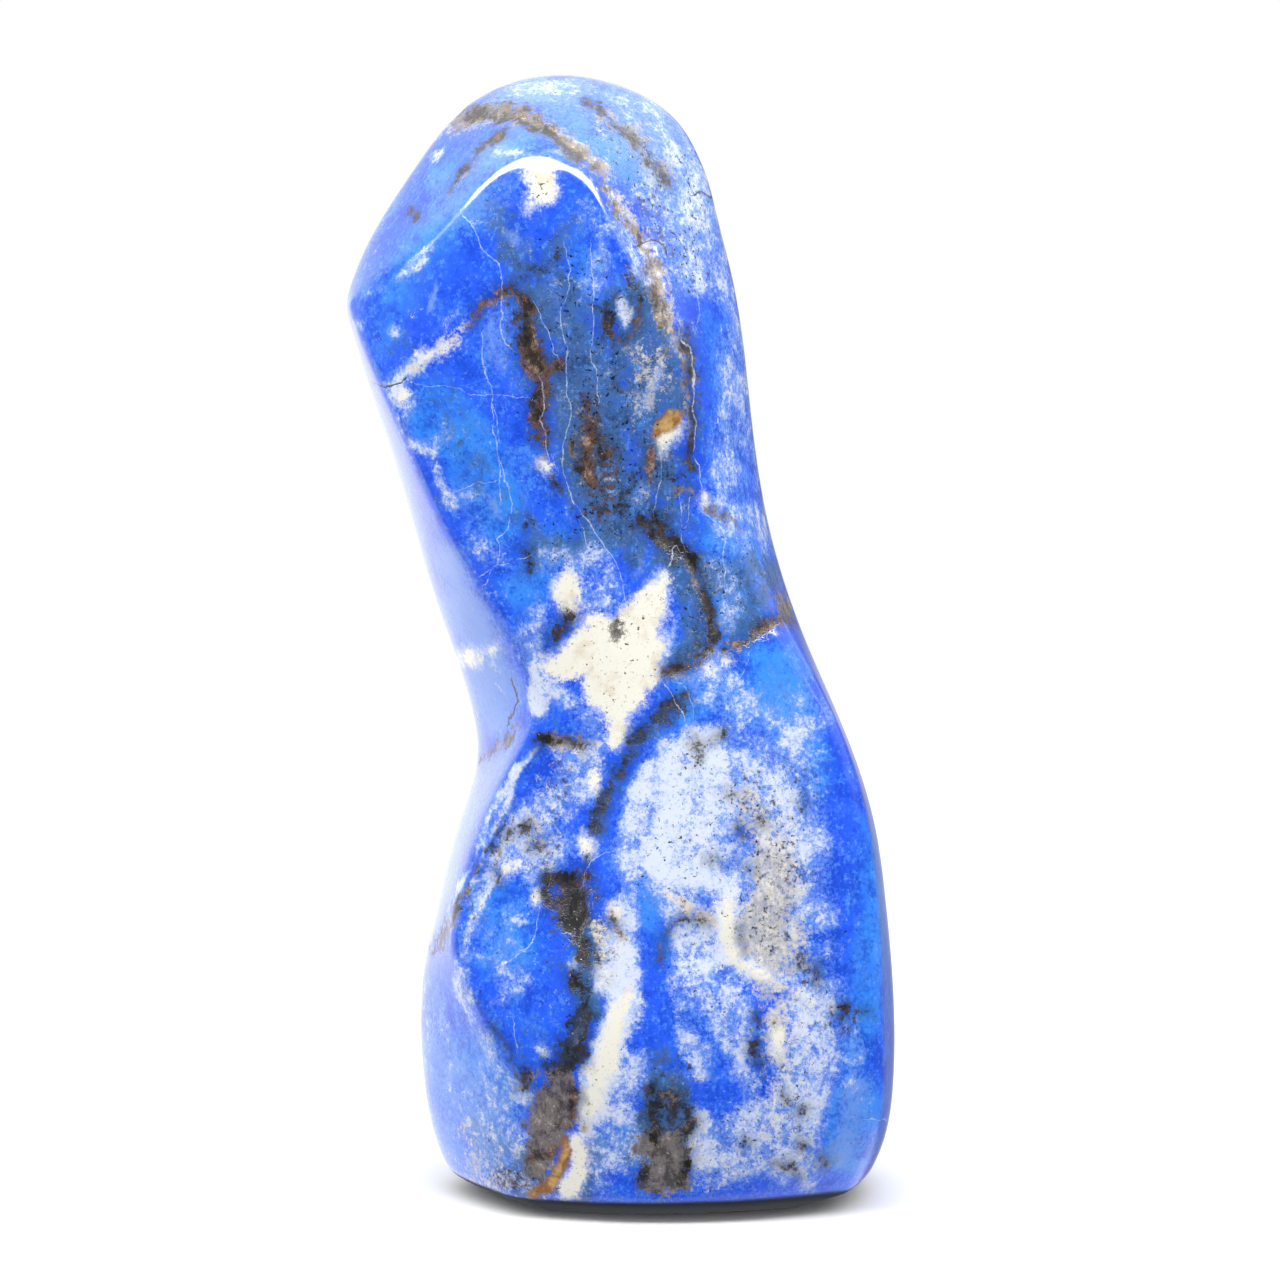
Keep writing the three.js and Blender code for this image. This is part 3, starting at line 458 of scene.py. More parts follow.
MARKINGS[Mineral.CALCITE] = (
    Mark("crown calcite", ((-9.1, 112.2, 1.6), (-8.8, 111.4, 1.4))),
    Mark("crown calcite tail", ((-10.2, 110.1, 0.33), (-10.7, 109.1, 0.22))),
    Mark("kite body", ((-1.3, 60.7, 3.1), (-0.9, 58.6, 3.8), (-1.1, 55.9, 3), (-1, 53.5, 1.5),
        (-0.7, 50.6, 0.77))),
    Mark("kite left", ((-3.9, 60.3, 2.2), (-5.8, 58.9, 1.5), (-7.2, 58, 0.99))),
    Mark("kite left top", ((-3.6, 63, 0.99), (-2.5, 63.4, 0.99))),
    Mark("kite right wing", ((0.7, 61.9, 2.9), (2.4, 64.3, 2), (3.4, 66.2, 1.2), (4.4, 68.3, 0.66))),
    Mark("kite right edge", ((3.2, 60.8, 1.3), (2.4, 57.5, 1.1), (1.6, 55.4, 0.88))),
    Mark("kite left arm", ((-7.8, 58.8, 0.66), (-9, 58.3, 0.33))),
    Mark("blob calcite", ((-6.3, 67.3, 1.2), (-6.2, 65.8, 1.1), (-5.8, 64.7, 0.77))),
    Mark("left vein calcite", ((-19.7, 93.6, 0.22), (-20.8, 92.9, 0.49), (-21.7, 92.4, 0.44))),
    Mark("under crack calcite", ((-24.4, 88.1, 0.55),)),
    Mark("small face calcite", ((-8.6, 80.8, 0.49), (-8.3, 80.2, 0.44))),
    Mark("lens cream", ((5.8, 85.6, 0.55), (5.3, 84.4, 0.88), (4.5, 83.3, 0.77), (4.3, 82.3, 0.44))),
    Mark("right knot cream", ((8.5, 76.9, 0.38), (8.9, 76.1, 0.33))),
    Mark("c cream", ((-3.4, 46.3, 0.77), (-3.6, 45, 0.55))),
    Mark("oval", ((-4.2, 39.1, 0.71), (-4.1, 38.3, 0.71))),
    Mark("spot cream", ((-1, 31.9, 0.66), (-0.6, 31.3, 0.66))),
    Mark("stem cream a", ((-2.5, 25.4, 0.55), (-2.8, 24.6, 0.44))),
    Mark("pillar cream low", ((16.7, 12.2, 0.33), (16.6, 10.4, 0.33))),
    Mark("waist flecks a", ((9.5, 58.3, 0.33), (10.2, 57.9, 0.44))),
    Mark("waist flecks b", ((11.1, 58.8, 0.33), (11.7, 59.4, 0.27))),
    Mark("c band cream", ((-12.7, 36.6, 0.44), (-11.3, 37, 0.33))),
    Mark("foot cream b", ((7.8, 6.5, 0.44), (7.3, 5.1, 0.44), (8.1, 4.3, 0.33))),
    Mark("flank cream", ((-17.2, 59.7, 0.88), (-16.4, 59.4, 0.66))),
    Mark("flank cream b", ((-14.6, 60.1, 0.33), (-14.4, 60.7, 0.33))),
    Mark("panel oval", ((-9.5, 33, 0.55),)),
    Mark("mottle cream", ((15.8, 39.9, 0.44), (15.6, 40.7, 0.33))),
    Mark("column cream", ((0.4, 22.9, 0.44), (-0.1, 21.4, 0.77), (-0.6, 19.6, 0.99), (-1.2, 17.9, 1.3),
        (-1.7, 15.9, 1.3), (-2.3, 14.4, 1.2), (-3, 12.6, 0.99), (-3.4, 11.1, 0.88), (-3.8, 9.5, 0.66))),
    Mark("foot cream new", ((-5, 6.5, 0.66), (-4.7, 4.9, 0.88), (-4.7, 3.4, 0.99), (-5.2, 2.1, 1.1),
        (-6.1, 1, 0.99))),
    Mark("pillar core", ((11.4, 33, 0.55), (11.3, 31.2, 0.88), (11.3, 28.9, 0.99), (12, 27.1, 0.88))),
    # The flake scar's lip: pale calcite drawn along it, which also stands in for the highlight where the lip
    # faces up to the light.
    Mark("lip pale and painted highlight", ((12.9, 25.8, 0.44), (14.2, 25.2, 0.55), (15.5, 24.5, 0.55), (17, 23.6, 0.55))),
    Mark("lip pale and painted highlight b", ((18.3, 22.7, 0.44), (19.6, 22.1, 0.44), (21, 21.5, 0.33))),
    Mark("pillar below", ((16.8, 19.6, 0.55), (17.1, 18.1, 0.77), (17.2, 16.6, 0.66))),
)
MARKINGS[Mineral.BROWN] = (
    Mark("mid field brown", ((7.3, 50.4, 0.34), (8, 49.3, 0.27), (9.8, 50.2, 0.27), (10.9, 51.2, 0.41))),
    Mark("outer band", ((6.7, 95, 0.41), (7.3, 93.9, 0.48), (7.8, 92.4, 0.41), (7.9, 90.2, 0.34))),
    Mark("outer band b", ((7.7, 89.1, 0.34), (7.6, 87.2, 0.48), (7.7, 85.1, 0.41))),
    Mark("outer band c", ((7.6, 83.8, 0.41), (7.3, 82.1, 0.41), (7.5, 80.3, 0.27))),
    Mark("branch stain", ((-12.9, 117.5, 0.41), (-13.9, 116.7, 0.62), (-14.6, 116, 0.41))),
    Mark("branch stain b", ((-15.5, 115.2, 0.48), (-16.3, 114.5, 0.34))),
    Mark("branch stain c", ((-17.4, 113.3, 0.48), (-18.2, 112.2, 0.34), (-18.9, 111.1, 0.27))),
    Mark("cap dot", ((-23.1, 108.2, 0.62),)),
    Mark("cap dot b", ((-13.9, 116.5, 0.48),)),
    Mark("cap stain b", ((-4.4, 120.8, 0.34), (-2.9, 120, 0.48), (-1.9, 119.2, 0.34))),
    Mark("cap stain c", ((-1.2, 118.3, 0.41), (0.2, 117.3, 0.34), (1.5, 116.6, 0.55), (2.4, 115.5, 0.48))),
    Mark("cap stain d", ((2.9, 114.1, 0.41), (4, 113, 0.41), (4.9, 111.5, 0.48))),
    Mark("arch dark b", ((-10.8, 97.8, 0.55), (-11.3, 98.3, 0.41))),
    Mark("column dark", ((-10.1, 93.9, 0.55), (-10.6, 91.9, 0.55))),
    Mark("column dark b", ((-7.3, 91.5, 0.48), (-6.6, 90.8, 0.34))),
    Mark("column dark c", ((-9.7, 86.9, 0.48), (-9.1, 85.8, 0.41))),
    Mark("specks a", ((-9.1, 83.2, 0.34),)),
    Mark("specks d", ((-7.4, 78.6, 0.34),)),
    Mark("dots a", ((-10.5, 74, 0.25),)),
    Mark("dots b", ((-10.8, 71, 0.41), (-10.7, 70.4, 0.27))),
    Mark("dots c", ((-10.6, 69, 0.41),)),
    Mark("mass dark a", ((-4.6, 80.1, 0.48), (-5, 81, 0.41))),
    Mark("mass dark b", ((-2.5, 80.5, 0.34), (-3.2, 85, 0.34))),
    Mark("central top", ((0.7, 74.4, 0.41), (1.5, 74.1, 0.48), (2.4, 73.9, 0.48))),
    Mark("central a", ((3.6, 75.2, 0.55), (4.2, 74.1, 0.66), (3.7, 73, 0.88), (4.5, 72.3, 0.99),
        (5.6, 71.6, 0.99), (6.7, 70.8, 0.88), (7.6, 70.2, 0.69))),
    Mark("central b", ((7.7, 69.5, 0.41), (8.2, 68.6, 0.34), (8.5, 67.8, 0.27))),
    Mark("central c", ((8.7, 66.7, 0.55), (8.8, 65.4, 0.69), (9.1, 64.3, 0.62), (9.3, 62.7, 0.55),
        (9.3, 61, 0.62), (9.1, 59.9, 0.55))),
    Mark("oval dark", ((-6.2, 63.6, 0.77), (-6.9, 62.5, 0.88), (-7.7, 61.4, 0.66))),
    Mark("oval dark b", ((-8.3, 61.4, 0.41), (-8.6, 60.6, 0.27))),
    Mark("stringer a", ((6.9, 55.6, 0.41), (6, 55, 0.55), (4.9, 54.3, 0.69), (4, 53.6, 0.69),
        (3.4, 53.2, 0.55))),
    Mark("stringer b", ((2.1, 51.7, 0.69), (1.8, 51.1, 0.55))),
    Mark("stringer c", ((1.2, 50, 0.48), (0.7, 49.3, 0.55))),
    Mark("stringer d", ((0.4, 47.2, 0.69), (-0.4, 47.1, 0.62))),
    Mark("stringer e", ((-1.5, 44.4, 0.55), (-1.2, 44.9, 0.41))),
    Mark("stringer f", ((-2.3, 42.5, 0.55), (-2.5, 42.9, 0.41))),
    Mark("stringer g", ((-3, 41, 0.41), (-3.4, 40.6, 0.27))),
    Mark("valley brown", ((-9.1, 50, 0.69), (-8.6, 50.6, 0.55))),
    Mark("valley brown b", ((-6.6, 50.4, 0.41),)),
    Mark("valley brown c", ((-4.4, 49.5, 0.48), (-5, 49.9, 0.41))),
    Mark("c brown a", ((-10.6, 41.1, 0.55), (-10.9, 40.4, 0.41))),
    Mark("c brown c", ((-9.8, 38.5, 0.55), (-9, 39.1, 0.55))),
    Mark("big brown", ((-7.8, 35, 0.77), (-6.3, 34.4, 1.2), (-5.6, 32.8, 1.8), (-5.6, 31.3, 1.8),
        (-5.1, 29.5, 1.1))),
    Mark("big brown left", ((-8, 32.4, 0.77), (-8.2, 35.5, 0.55), (-3.9, 35, 0.69))),
    Mark("big stem", ((-4.7, 28.6, 0.88), (-4.4, 27.1, 0.66), (-4.5, 25.6, 0.69))),
    Mark("small stem", ((-5.7, 24.5, 0.66), (-5.3, 23.6, 0.77))),
    Mark("brown vein above", ((-4.7, 34.8, 0.27), (-4.4, 35.9, 0.34), (-4.2, 37, 0.27))),
    Mark("blade dark a", ((-12.4, 40.3, 0.34), (-12.8, 39.6, 0.27))),
    Mark("blade dark b", ((-13.8, 35.9, 0.27), (-13.6, 35, 0.21))),
    Mark("vein brown a", ((-14.2, 18.4, 0.27), (-13.8, 17.7, 0.21))),
    Mark("vein brown b", ((-12.5, 16.6, 0.27), (-12.1, 15.9, 0.21))),
    Mark("vein brown c", ((-10.9, 14.1, 0.41), (-11.2, 12.2, 0.41), (-10.7, 12.7, 0.41))),
    Mark("right spots k", ((19.9, 25.7, 0.27),)),
    Mark("right spots l", ((21.1, 24, 0.34), (21.3, 25.4, 0.21))),
    Mark("right spots m", ((24.2, 21.2, 0.48), (24.5, 20.5, 0.27))),
    Mark("right spots n", ((26.5, 20.7, 0.27),)),
    Mark("right spots o", ((23.6, 20.2, 0.27),)),
    Mark("window dots a", ((14.9, 20, 0.48), (14.6, 19.5, 0.27))),
    Mark("window dots b", ((14.8, 17.3, 0.55),)),
    Mark("window dots c", ((14.7, 16, 0.34),)),
    Mark("window dots d", ((15.3, 14.8, 0.34),)),
    Mark("cream dot", ((16.9, 19.3, 0.16),)),
    Mark("foot spots a", ((12.6, 29.7, 0.21), (13.3, 27.3, 0.21))),
    Mark("foot spots b", ((18.3, 10.7, 0.34), (17.9, 11.4, 0.27))),
    Mark("foot spots c", ((19.5, 9.5, 0.34), (19.9, 10, 0.21))),
    Mark("foot spots d", ((17.9, 3.7, 0.27), (18.5, 3.4, 0.27), (16.6, 3.9, 0.21))),
    Mark("foot spots e", ((22.2, 4.5, 0.41), (22.1, 3.8, 0.27))),
    Mark("foot spots f", ((19.6, 6.2, 0.27), (20.1, 5.8, 0.21))),
    Mark("foot spots g", ((13.6, 6.1, 0.21),)),
    Mark("foot spots h", ((19.1, 2.4, 0.34), (18.8, 2.9, 0.27))),
    Mark("foot upright", ((3.3, 10.8, 0.55), (3.4, 9.1, 0.48), (3.3, 7.3, 0.66), (3.5, 6.7, 0.69))),
    Mark("foot upright b", ((7.1, 9.5, 0.55), (7.3, 7.8, 0.66), (7.1, 6.9, 0.69))),
    Mark("foot upright c", ((6.5, 10.4, 0.55),)),
    Mark("foot edge a", ((2.4, 3.2, 0.41), (1.8, 2.1, 0.41))),
    Mark("foot edge b", ((7.3, 4.5, 0.41), (6.7, 2.9, 0.41), (5.8, 1.4, 0.41))),
    Mark("mottle dark a", ((19.6, 43.2, 0.27),)),
    Mark("mottle dark b", ((11.6, 44.1, 0.27), (11.3, 44.5, 0.21))),
    Mark("mottle dark c", ((15.4, 41.6, 0.27),)),
    Mark("mottle dark d", ((12.7, 41, 0.27), (13.3, 39.9, 0.21))),
    Mark("mottle dark e", ((13.2, 36.3, 0.21), (13.9, 36.1, 0.21))),
    Mark("mottle dark f", ((9.8, 37.3, 0.34),)),
    Mark("field specks a", ((7.3, 50.3, 0.27), (7.2, 50.8, 0.14))),
    Mark("field specks b", ((8.3, 48.5, 0.16), (8, 47.8, 0.14))),
    Mark("field specks c", ((11, 36.6, 0.21),)),
    Mark("cream smudge", ((-4.2, 14.6, 0.27),)),
    Mark("black a", ((5.4, 54.8, 0.69), (4.5, 53.9, 0.55))),
    Mark("black b", ((2, 51.7, 0.62), (1.2, 49.7, 0.55))),
    Mark("black c", ((0.3, 47.3, 0.69), (-0.6, 47.3, 0.48))),
    Mark("big brown foot", ((-4.5, 21, 0.69), (-4.5, 19.4, 0.88), (-5, 17.7, 1.2), (-5.6, 16.1, 1.5),
        (-6.5, 15, 1.3), (-7.8, 14.6, 0.77))),
    Mark("stem dark", ((-4.5, 22.9, 0.55), (-4.4, 21.8, 0.55))),
    Mark("central wide", ((1.8, 74.6, 0.69), (2.9, 73.7, 0.66), (4, 72.8, 0.77), (5.8, 71.5, 0.77))),
    Mark("central low wide", ((8.7, 66.9, 0.69), (9, 65.4, 0.66), (9.3, 63.4, 0.66), (9.4, 61.4, 0.69))),
    Mark("arch mass", ((-10.9, 96.8, 0.69), (-10.5, 95.2, 0.77), (-10.5, 93.3, 0.77), (-9.4, 91.5, 0.66))),
    Mark("cap band dark", ((-17.3, 119, 0.48), (-15.5, 119.6, 0.41), (-14.4, 118.6, 0.41),
        (-12.2, 119, 0.48), (-10.5, 118.1, 0.41), (-8.3, 117.2, 0.55), (-6.7, 115.7, 0.48),
        (-5, 114.1, 0.48))),
    Mark("foot window brown", ((3.8, 11.1, 0.55), (5.8, 11.3, 0.55), (5.1, 8.9, 0.55))),
    Mark("stain by arch", ((-1.7, 95.9, 0.41), (-1.9, 97, 0.41))),
)
MARKINGS[Mineral.TAUPE] = (
    Mark("cap band left", ((-18.8, 117.8, 0.66), (-17.7, 118.5, 0.99), (-16.4, 119.2, 0.99))),
    Mark("cap band left b", ((-15.1, 119.4, 0.99), (-13.5, 119.4, 0.88), (-12.3, 119.3, 0.77))),
    Mark("cap band mid", ((-5.6, 115, 0.44), (-4.4, 114.6, 0.55), (-3.1, 113.9, 0.55))),
    Mark("cap band mid b", ((-2.3, 113.5, 0.55), (-1.7, 112.8, 0.44), (-1.9, 111.3, 0.33))),
    Mark("band right", ((2.4, 103.8, 0.55), (3.2, 101.8, 0.77), (3.6, 100.3, 0.55))),
    Mark("band right low", ((5.8, 95.2, 0.44), (4.9, 96.3, 0.44))),
    Mark("outer band taupe", ((7.1, 93.3, 0.33), (7.3, 90.8, 0.33), (7.1, 88, 0.33), (7.3, 83.4, 0.33))),
    Mark("mottled mass a", ((-3.9, 86.5, 0.44), (-3.6, 84.5, 0.55), (-4.1, 82.7, 0.66))),
    Mark("knot", ((5.7, 78.3, 0.44), (6.7, 77.5, 0.55), (7.3, 77.1, 0.44))),
    Mark("knot tail", ((9.1, 75.7, 0.38), (10.2, 75.1, 0.38), (11.5, 74.4, 0.33), (12.8, 73.4, 0.22))),
    Mark("waist vein right", ((17.2, 66, 0.77), (17.9, 65.1, 0.88), (17.6, 64.4, 0.77), (16.4, 63.5, 0.55))),
    Mark("blade taupe", ((-16.8, 34.4, 0.33), (-18.2, 31.9, 0.44), (-19.5, 29.5, 0.44),
        (-20.8, 27.3, 0.33))),
    Mark("blade taupe b", ((-12.5, 39.6, 0.22), (-14, 37.4, 0.22))),
    Mark("valley taupe", ((-8.3, 50.4, 0.88), (-6.9, 50.3, 0.88), (-5.4, 50.2, 0.77), (-3.9, 49.7, 0.44))),
    Mark("stringer taupe", ((-1.5, 44.5, 0.44), (-2.2, 42.9, 0.33))),
    Mark("face centre taupe", ((-5.6, 83.6, 0.33), (-5.4, 82.1, 0.44))),
    Mark("flank stain", ((-15.5, 48, 0.38), (-14.2, 49.1, 0.44), (-12.9, 50.4, 0.44), (-11.6, 51.6, 0.33))),
    Mark("kite smudge", ((-0.5, 63.4, 0.44), (-0.1, 62.1, 0.55))),
    Mark("heel taupe new", ((-6.9, 13.3, 1.8), (-7.4, 11.3, 2.4), (-8, 9.3, 2.6), (-8.7, 7.1, 2.4),
        (-9.1, 5.4, 2), (-9.8, 3.6, 1.5))),
    Mark("heel taupe side", ((-10.2, 13.5, 0.55), (-11.3, 12.2, 0.44))),
    Mark("foot taupe new", ((2.1, 5.4, 0.88), (3.6, 5.4, 1.8), (5.4, 5.4, 2), (6.5, 4.7, 1.5),
        (4.3, 2.7, 2.4), (5.6, 2.3, 2), (2.5, 1.2, 1.3))),
    Mark("cap band wide", ((-18.4, 118.1, 0.66), (-16.4, 119.4, 0.88), (-13.5, 120.1, 0.66),
        (-10.2, 119.4, 0.55))),
    Mark("column speck", ((-5, 10.8, 0.55), (-5.2, 9.3, 0.55))),
    Mark("kite smudge long", ((-0.7, 64, 0.44), (-0.6, 62.9, 0.66), (-0.4, 61.6, 0.55))),
)
MARKINGS[Mineral.GOLD] = (
    Mark("cap gold a", ((-12.7, 119.6, 0.44), (-11.6, 119.5, 0.66), (-10.2, 119, 0.55))),
    Mark("cap gold aa", ((-9.4, 118.4, 0.55), (-8.4, 117.9, 0.77), (-7.4, 117, 0.66), (-6.7, 116.3, 0.38))),
    Mark("cap gold b", ((-1.7, 111.5, 0.22), (-1.1, 110.2, 0.27), (-0.6, 109.1, 0.33))),
    Mark("cap gold c", ((-0.4, 108.5, 0.33), (0.3, 107.4, 0.55), (1.4, 106, 0.49), (2.1, 104.8, 0.33))),
    Mark("band gold", ((2.9, 102.9, 0.33), (3.5, 101, 0.55), (3.8, 99.4, 0.66), (4.3, 97.9, 0.55),
        (4.5, 96.8, 0.44), (5.3, 95.7, 0.33))),
    Mark("band gold low", ((4.9, 94.4, 0.33), (5.1, 93, 0.33))),
    Mark("branch gold", ((-15, 115.7, 0.27), (-16, 114.8, 0.27))),
    Mark("branch gold spot", ((-13.2, 117.3, 0.33),)),
    Mark("left vein gold", ((-20.6, 93.3, 0.44),)),
    Mark("valley gold", ((-7.9, 50.7, 0.44), (-8.6, 50.1, 0.44))),
    Mark("heel gold specks", ((-6.9, 10.4, 0.33), (-7.4, 8.4, 0.33), (-6.2, 8, 0.22))),
    Mark("central gold", ((3.2, 73.9, 0.22), (4.5, 72.4, 0.22), (7.3, 70.4, 0.22), (8.9, 65.1, 0.22))),
    Mark("cap band gold", ((-16.8, 119, 0.33), (-15.1, 119.4, 0.44), (-13.5, 119.4, 0.33))),
    Mark("cap band wide b", ((-9.6, 118.8, 0.77), (-7.4, 117.2, 0.77), (-4.7, 115.2, 0.66),
        (-2.5, 113, 0.55))),
    Mark("band gold lower", ((3.5, 98.8, 0.55), (4.3, 96.8, 0.55), (5, 95, 0.44), (5.4, 93, 0.33))),
)
MARKINGS[Mineral.OCHRE] = (
    Mark("lens ochre", ((6.1, 86.3, 0.55), (5.3, 85.8, 0.82), (4.4, 84.9, 0.82), (3.6, 83.7, 0.55))),
    Mark("lens ochre low", ((3.2, 82.1, 0.22), (3.2, 81.4, 0.16))),
    Mark("foot ochre", ((-6.3, 6.5, 0.55), (-6.3, 5.1, 0.66), (-6.5, 3.8, 0.66), (-7.4, 2.5, 0.66),
        (-8.3, 1.4, 0.66), (-9.6, 0.5, 0.66))),
    Mark("spot ochre", ((-1.2, 31.5, 0.33),)),
    Mark("front ochre", ((-4.2, 7.8, 0.33),)),
    Mark("cap dot ochre", ((-13.9, 116.6, 0.22),)),
)
MARKINGS[Mineral.RUST] = (
    Mark("arch rust left", ((-16.5, 96.1, 0.27), (-16, 97.4, 0.55), (-14.9, 98.4, 0.69),
        (-13.5, 99.1, 0.69))),
    Mark("arch rust top", ((-13.2, 99.6, 0.66), (-12, 99.6, 0.77), (-11.1, 98.8, 0.77), (-10.5, 97.4, 0.77),
        (-10, 96.6, 0.55))),
    Mark("arch rust right", ((-9.6, 97.2, 0.34), (-8.8, 96.1, 0.21))),
    Mark("column rust", ((-10.4, 95.1, 0.99), (-10.6, 93.3, 1.4), (-9.9, 91.7, 1.4), (-8.4, 91.5, 0.99),
        (-7.2, 91.9, 0.66))),
    Mark("column rust low", ((-9, 89.7, 0.66), (-8.9, 88.4, 0.88), (-9.4, 87.1, 0.88), (-9.3, 85.4, 0.77),
        (-8.9, 83.4, 0.69))),
    Mark("mass rust a", ((-4, 86.7, 0.55), (-3.6, 84.5, 0.66), (-4.3, 82.7, 0.88), (-4.5, 81.4, 0.88),
        (-3.9, 79.9, 0.77), (-3.2, 78.5, 0.55))),
    Mark("mass rust b", ((-2.4, 83.4, 0.55), (-2.1, 82.3, 0.55))),
    Mark("upright rust", ((2.8, 82.3, 0.48), (2.7, 80.7, 0.55), (2.8, 79.3, 0.41))),
    Mark("ring rust", ((1.4, 98.5, 0.27), (1.4, 96.8, 0.34), (1.1, 95.2, 0.41), (0.3, 94.4, 0.41),
        (-1.2, 95, 0.41), (-1.9, 96.1, 0.55), (-1.8, 97.4, 0.41))),
    Mark("waist vein", ((4.5, 57.9, 0.62), (5.7, 58.4, 0.69), (7.1, 59, 0.55), (8.7, 59.5, 0.48),
        (9.8, 60, 0.41))),
    Mark("waist vein b", ((11.5, 60.3, 0.62), (12.8, 61.1, 0.69), (14.2, 62.1, 0.69), (15.5, 62.9, 0.69),
        (16.8, 63.6, 0.69))),
    Mark("waist vein end", ((17.9, 64, 0.55), (18.3, 63.6, 0.55))),
    Mark("orange spot", ((-1, 30.6, 0.41), (-0.7, 29.7, 0.27))),
    Mark("heel rust new", ((-9.8, 4.5, 0.69), (-8.5, 4.7, 0.69), (-7.3, 5.1, 0.41))),
    Mark("heel rust upper", ((-5.3, 11.9, 0.55), (-5.4, 10.4, 0.69), (-5.7, 9.3, 0.41))),
    Mark("foot window rust", ((3.2, 11.9, 0.41), (3.2, 10.4, 0.41), (3.3, 9.1, 0.27))),
    # Along the scar's upper edge: a thin tan line, partly stain and partly painted shadow where the edge
    # steps down into the scar.
    Mark("scar edge tan and painted shadow", ((4.2, 26, 0.21), (4, 27.8, 0.21), (4.5, 29.1, 0.21), (5.8, 30.4, 0.27),
        (7.3, 31, 0.27), (8.9, 30.4, 0.21))),
)
MARKINGS[Mineral.INK] = (
    Mark("ring ink top", ((0.5, 102.3, 0.33), (0.9, 101.2, 0.49), (1.1, 100.1, 0.49))),
    Mark("ring ink left", ((-0.1, 99.9, 0.33), (-1, 99.1, 0.33), (-1.9, 98.3, 0.27), (-3.2, 97.9, 0.33))),
    Mark("ring ink right", ((1.3, 99.2, 0.27), (1.5, 97.7, 0.22))),
    Mark("face ink a", ((-7.4, 102.7, 0.44), (-6.9, 103.4, 0.33))),
    Mark("face ink b", ((-9.6, 101.9, 0.33), (-8.6, 101.8, 0.22))),
    Mark("ink below lens", ((4.3, 80.6, 0.44), (4.7, 79, 0.55), (6.2, 79.4, 0.44))),
    Mark("ink central", ((4.9, 71.1, 0.55), (5.4, 70.2, 0.55))),
    Mark("ink vein", ((8.1, 64.7, 0.44), (8.1, 62.5, 0.44), (8.4, 60.5, 0.55))),
    Mark("ink stringer", ((6.1, 54.1, 0.77), (5.1, 53.5, 0.77), (4.3, 53, 0.55))),
    Mark("ink c", ((-2.9, 33, 0.44), (-2.3, 33.5, 0.44))),
    Mark("ink stem", ((-3, 26.5, 0.44), (-3.4, 27.8, 0.33))),
    Mark("ink stem b", ((-4.5, 22.9, 0.44), (-4.4, 21.3, 0.55), (-4.7, 19.4, 0.77), (-5.4, 17.7, 0.99),
        (-6.1, 16.6, 1.1))),
    Mark("ink stem c", ((-6.9, 15.7, 1.2), (-5.8, 15.7, 1.2), (-8.3, 14.6, 0.66))),
    Mark("ink arch", ((-11.2, 101.2, 0.44),)),
    Mark("ink blade", ((-13.3, 41, 0.33), (-14.4, 39.2, 0.33), (-15.4, 37.4, 0.38), (-16.4, 35.7, 0.33),
        (-17.1, 34.4, 0.22))),
    Mark("ink blade b", ((-17.8, 32.3, 0.27), (-18, 31.2, 0.22))),
    Mark("ink mass", ((1.8, 80.1, 0.55), (1.2, 79, 0.66), (0.5, 77.9, 0.44))),
    Mark("centre ink", ((-2.1, 98.8, 0.22), (-1.5, 96.6, 0.22))),
    Mark("ink stringer chain", ((5.8, 53.9, 0.77), (3.5, 52.8, 0.77), (1.8, 51, 0.66), (0.5, 48.8, 0.66),
        (-0.6, 46.6, 0.66), (-1.9, 43.8, 0.66), (-2.8, 41.6, 0.55))),
    Mark("face ink", ((-1.2, 75.5, 0.55), (-0.1, 76.8, 0.44), (-2.5, 75.5, 0.33))),
    Mark("foot window ink", ((3.4, 11.9, 0.44), (3.5, 10, 0.44), (4, 8.4, 0.33), (6.6, 10, 0.44),
        (6.9, 8.4, 0.44))),
)
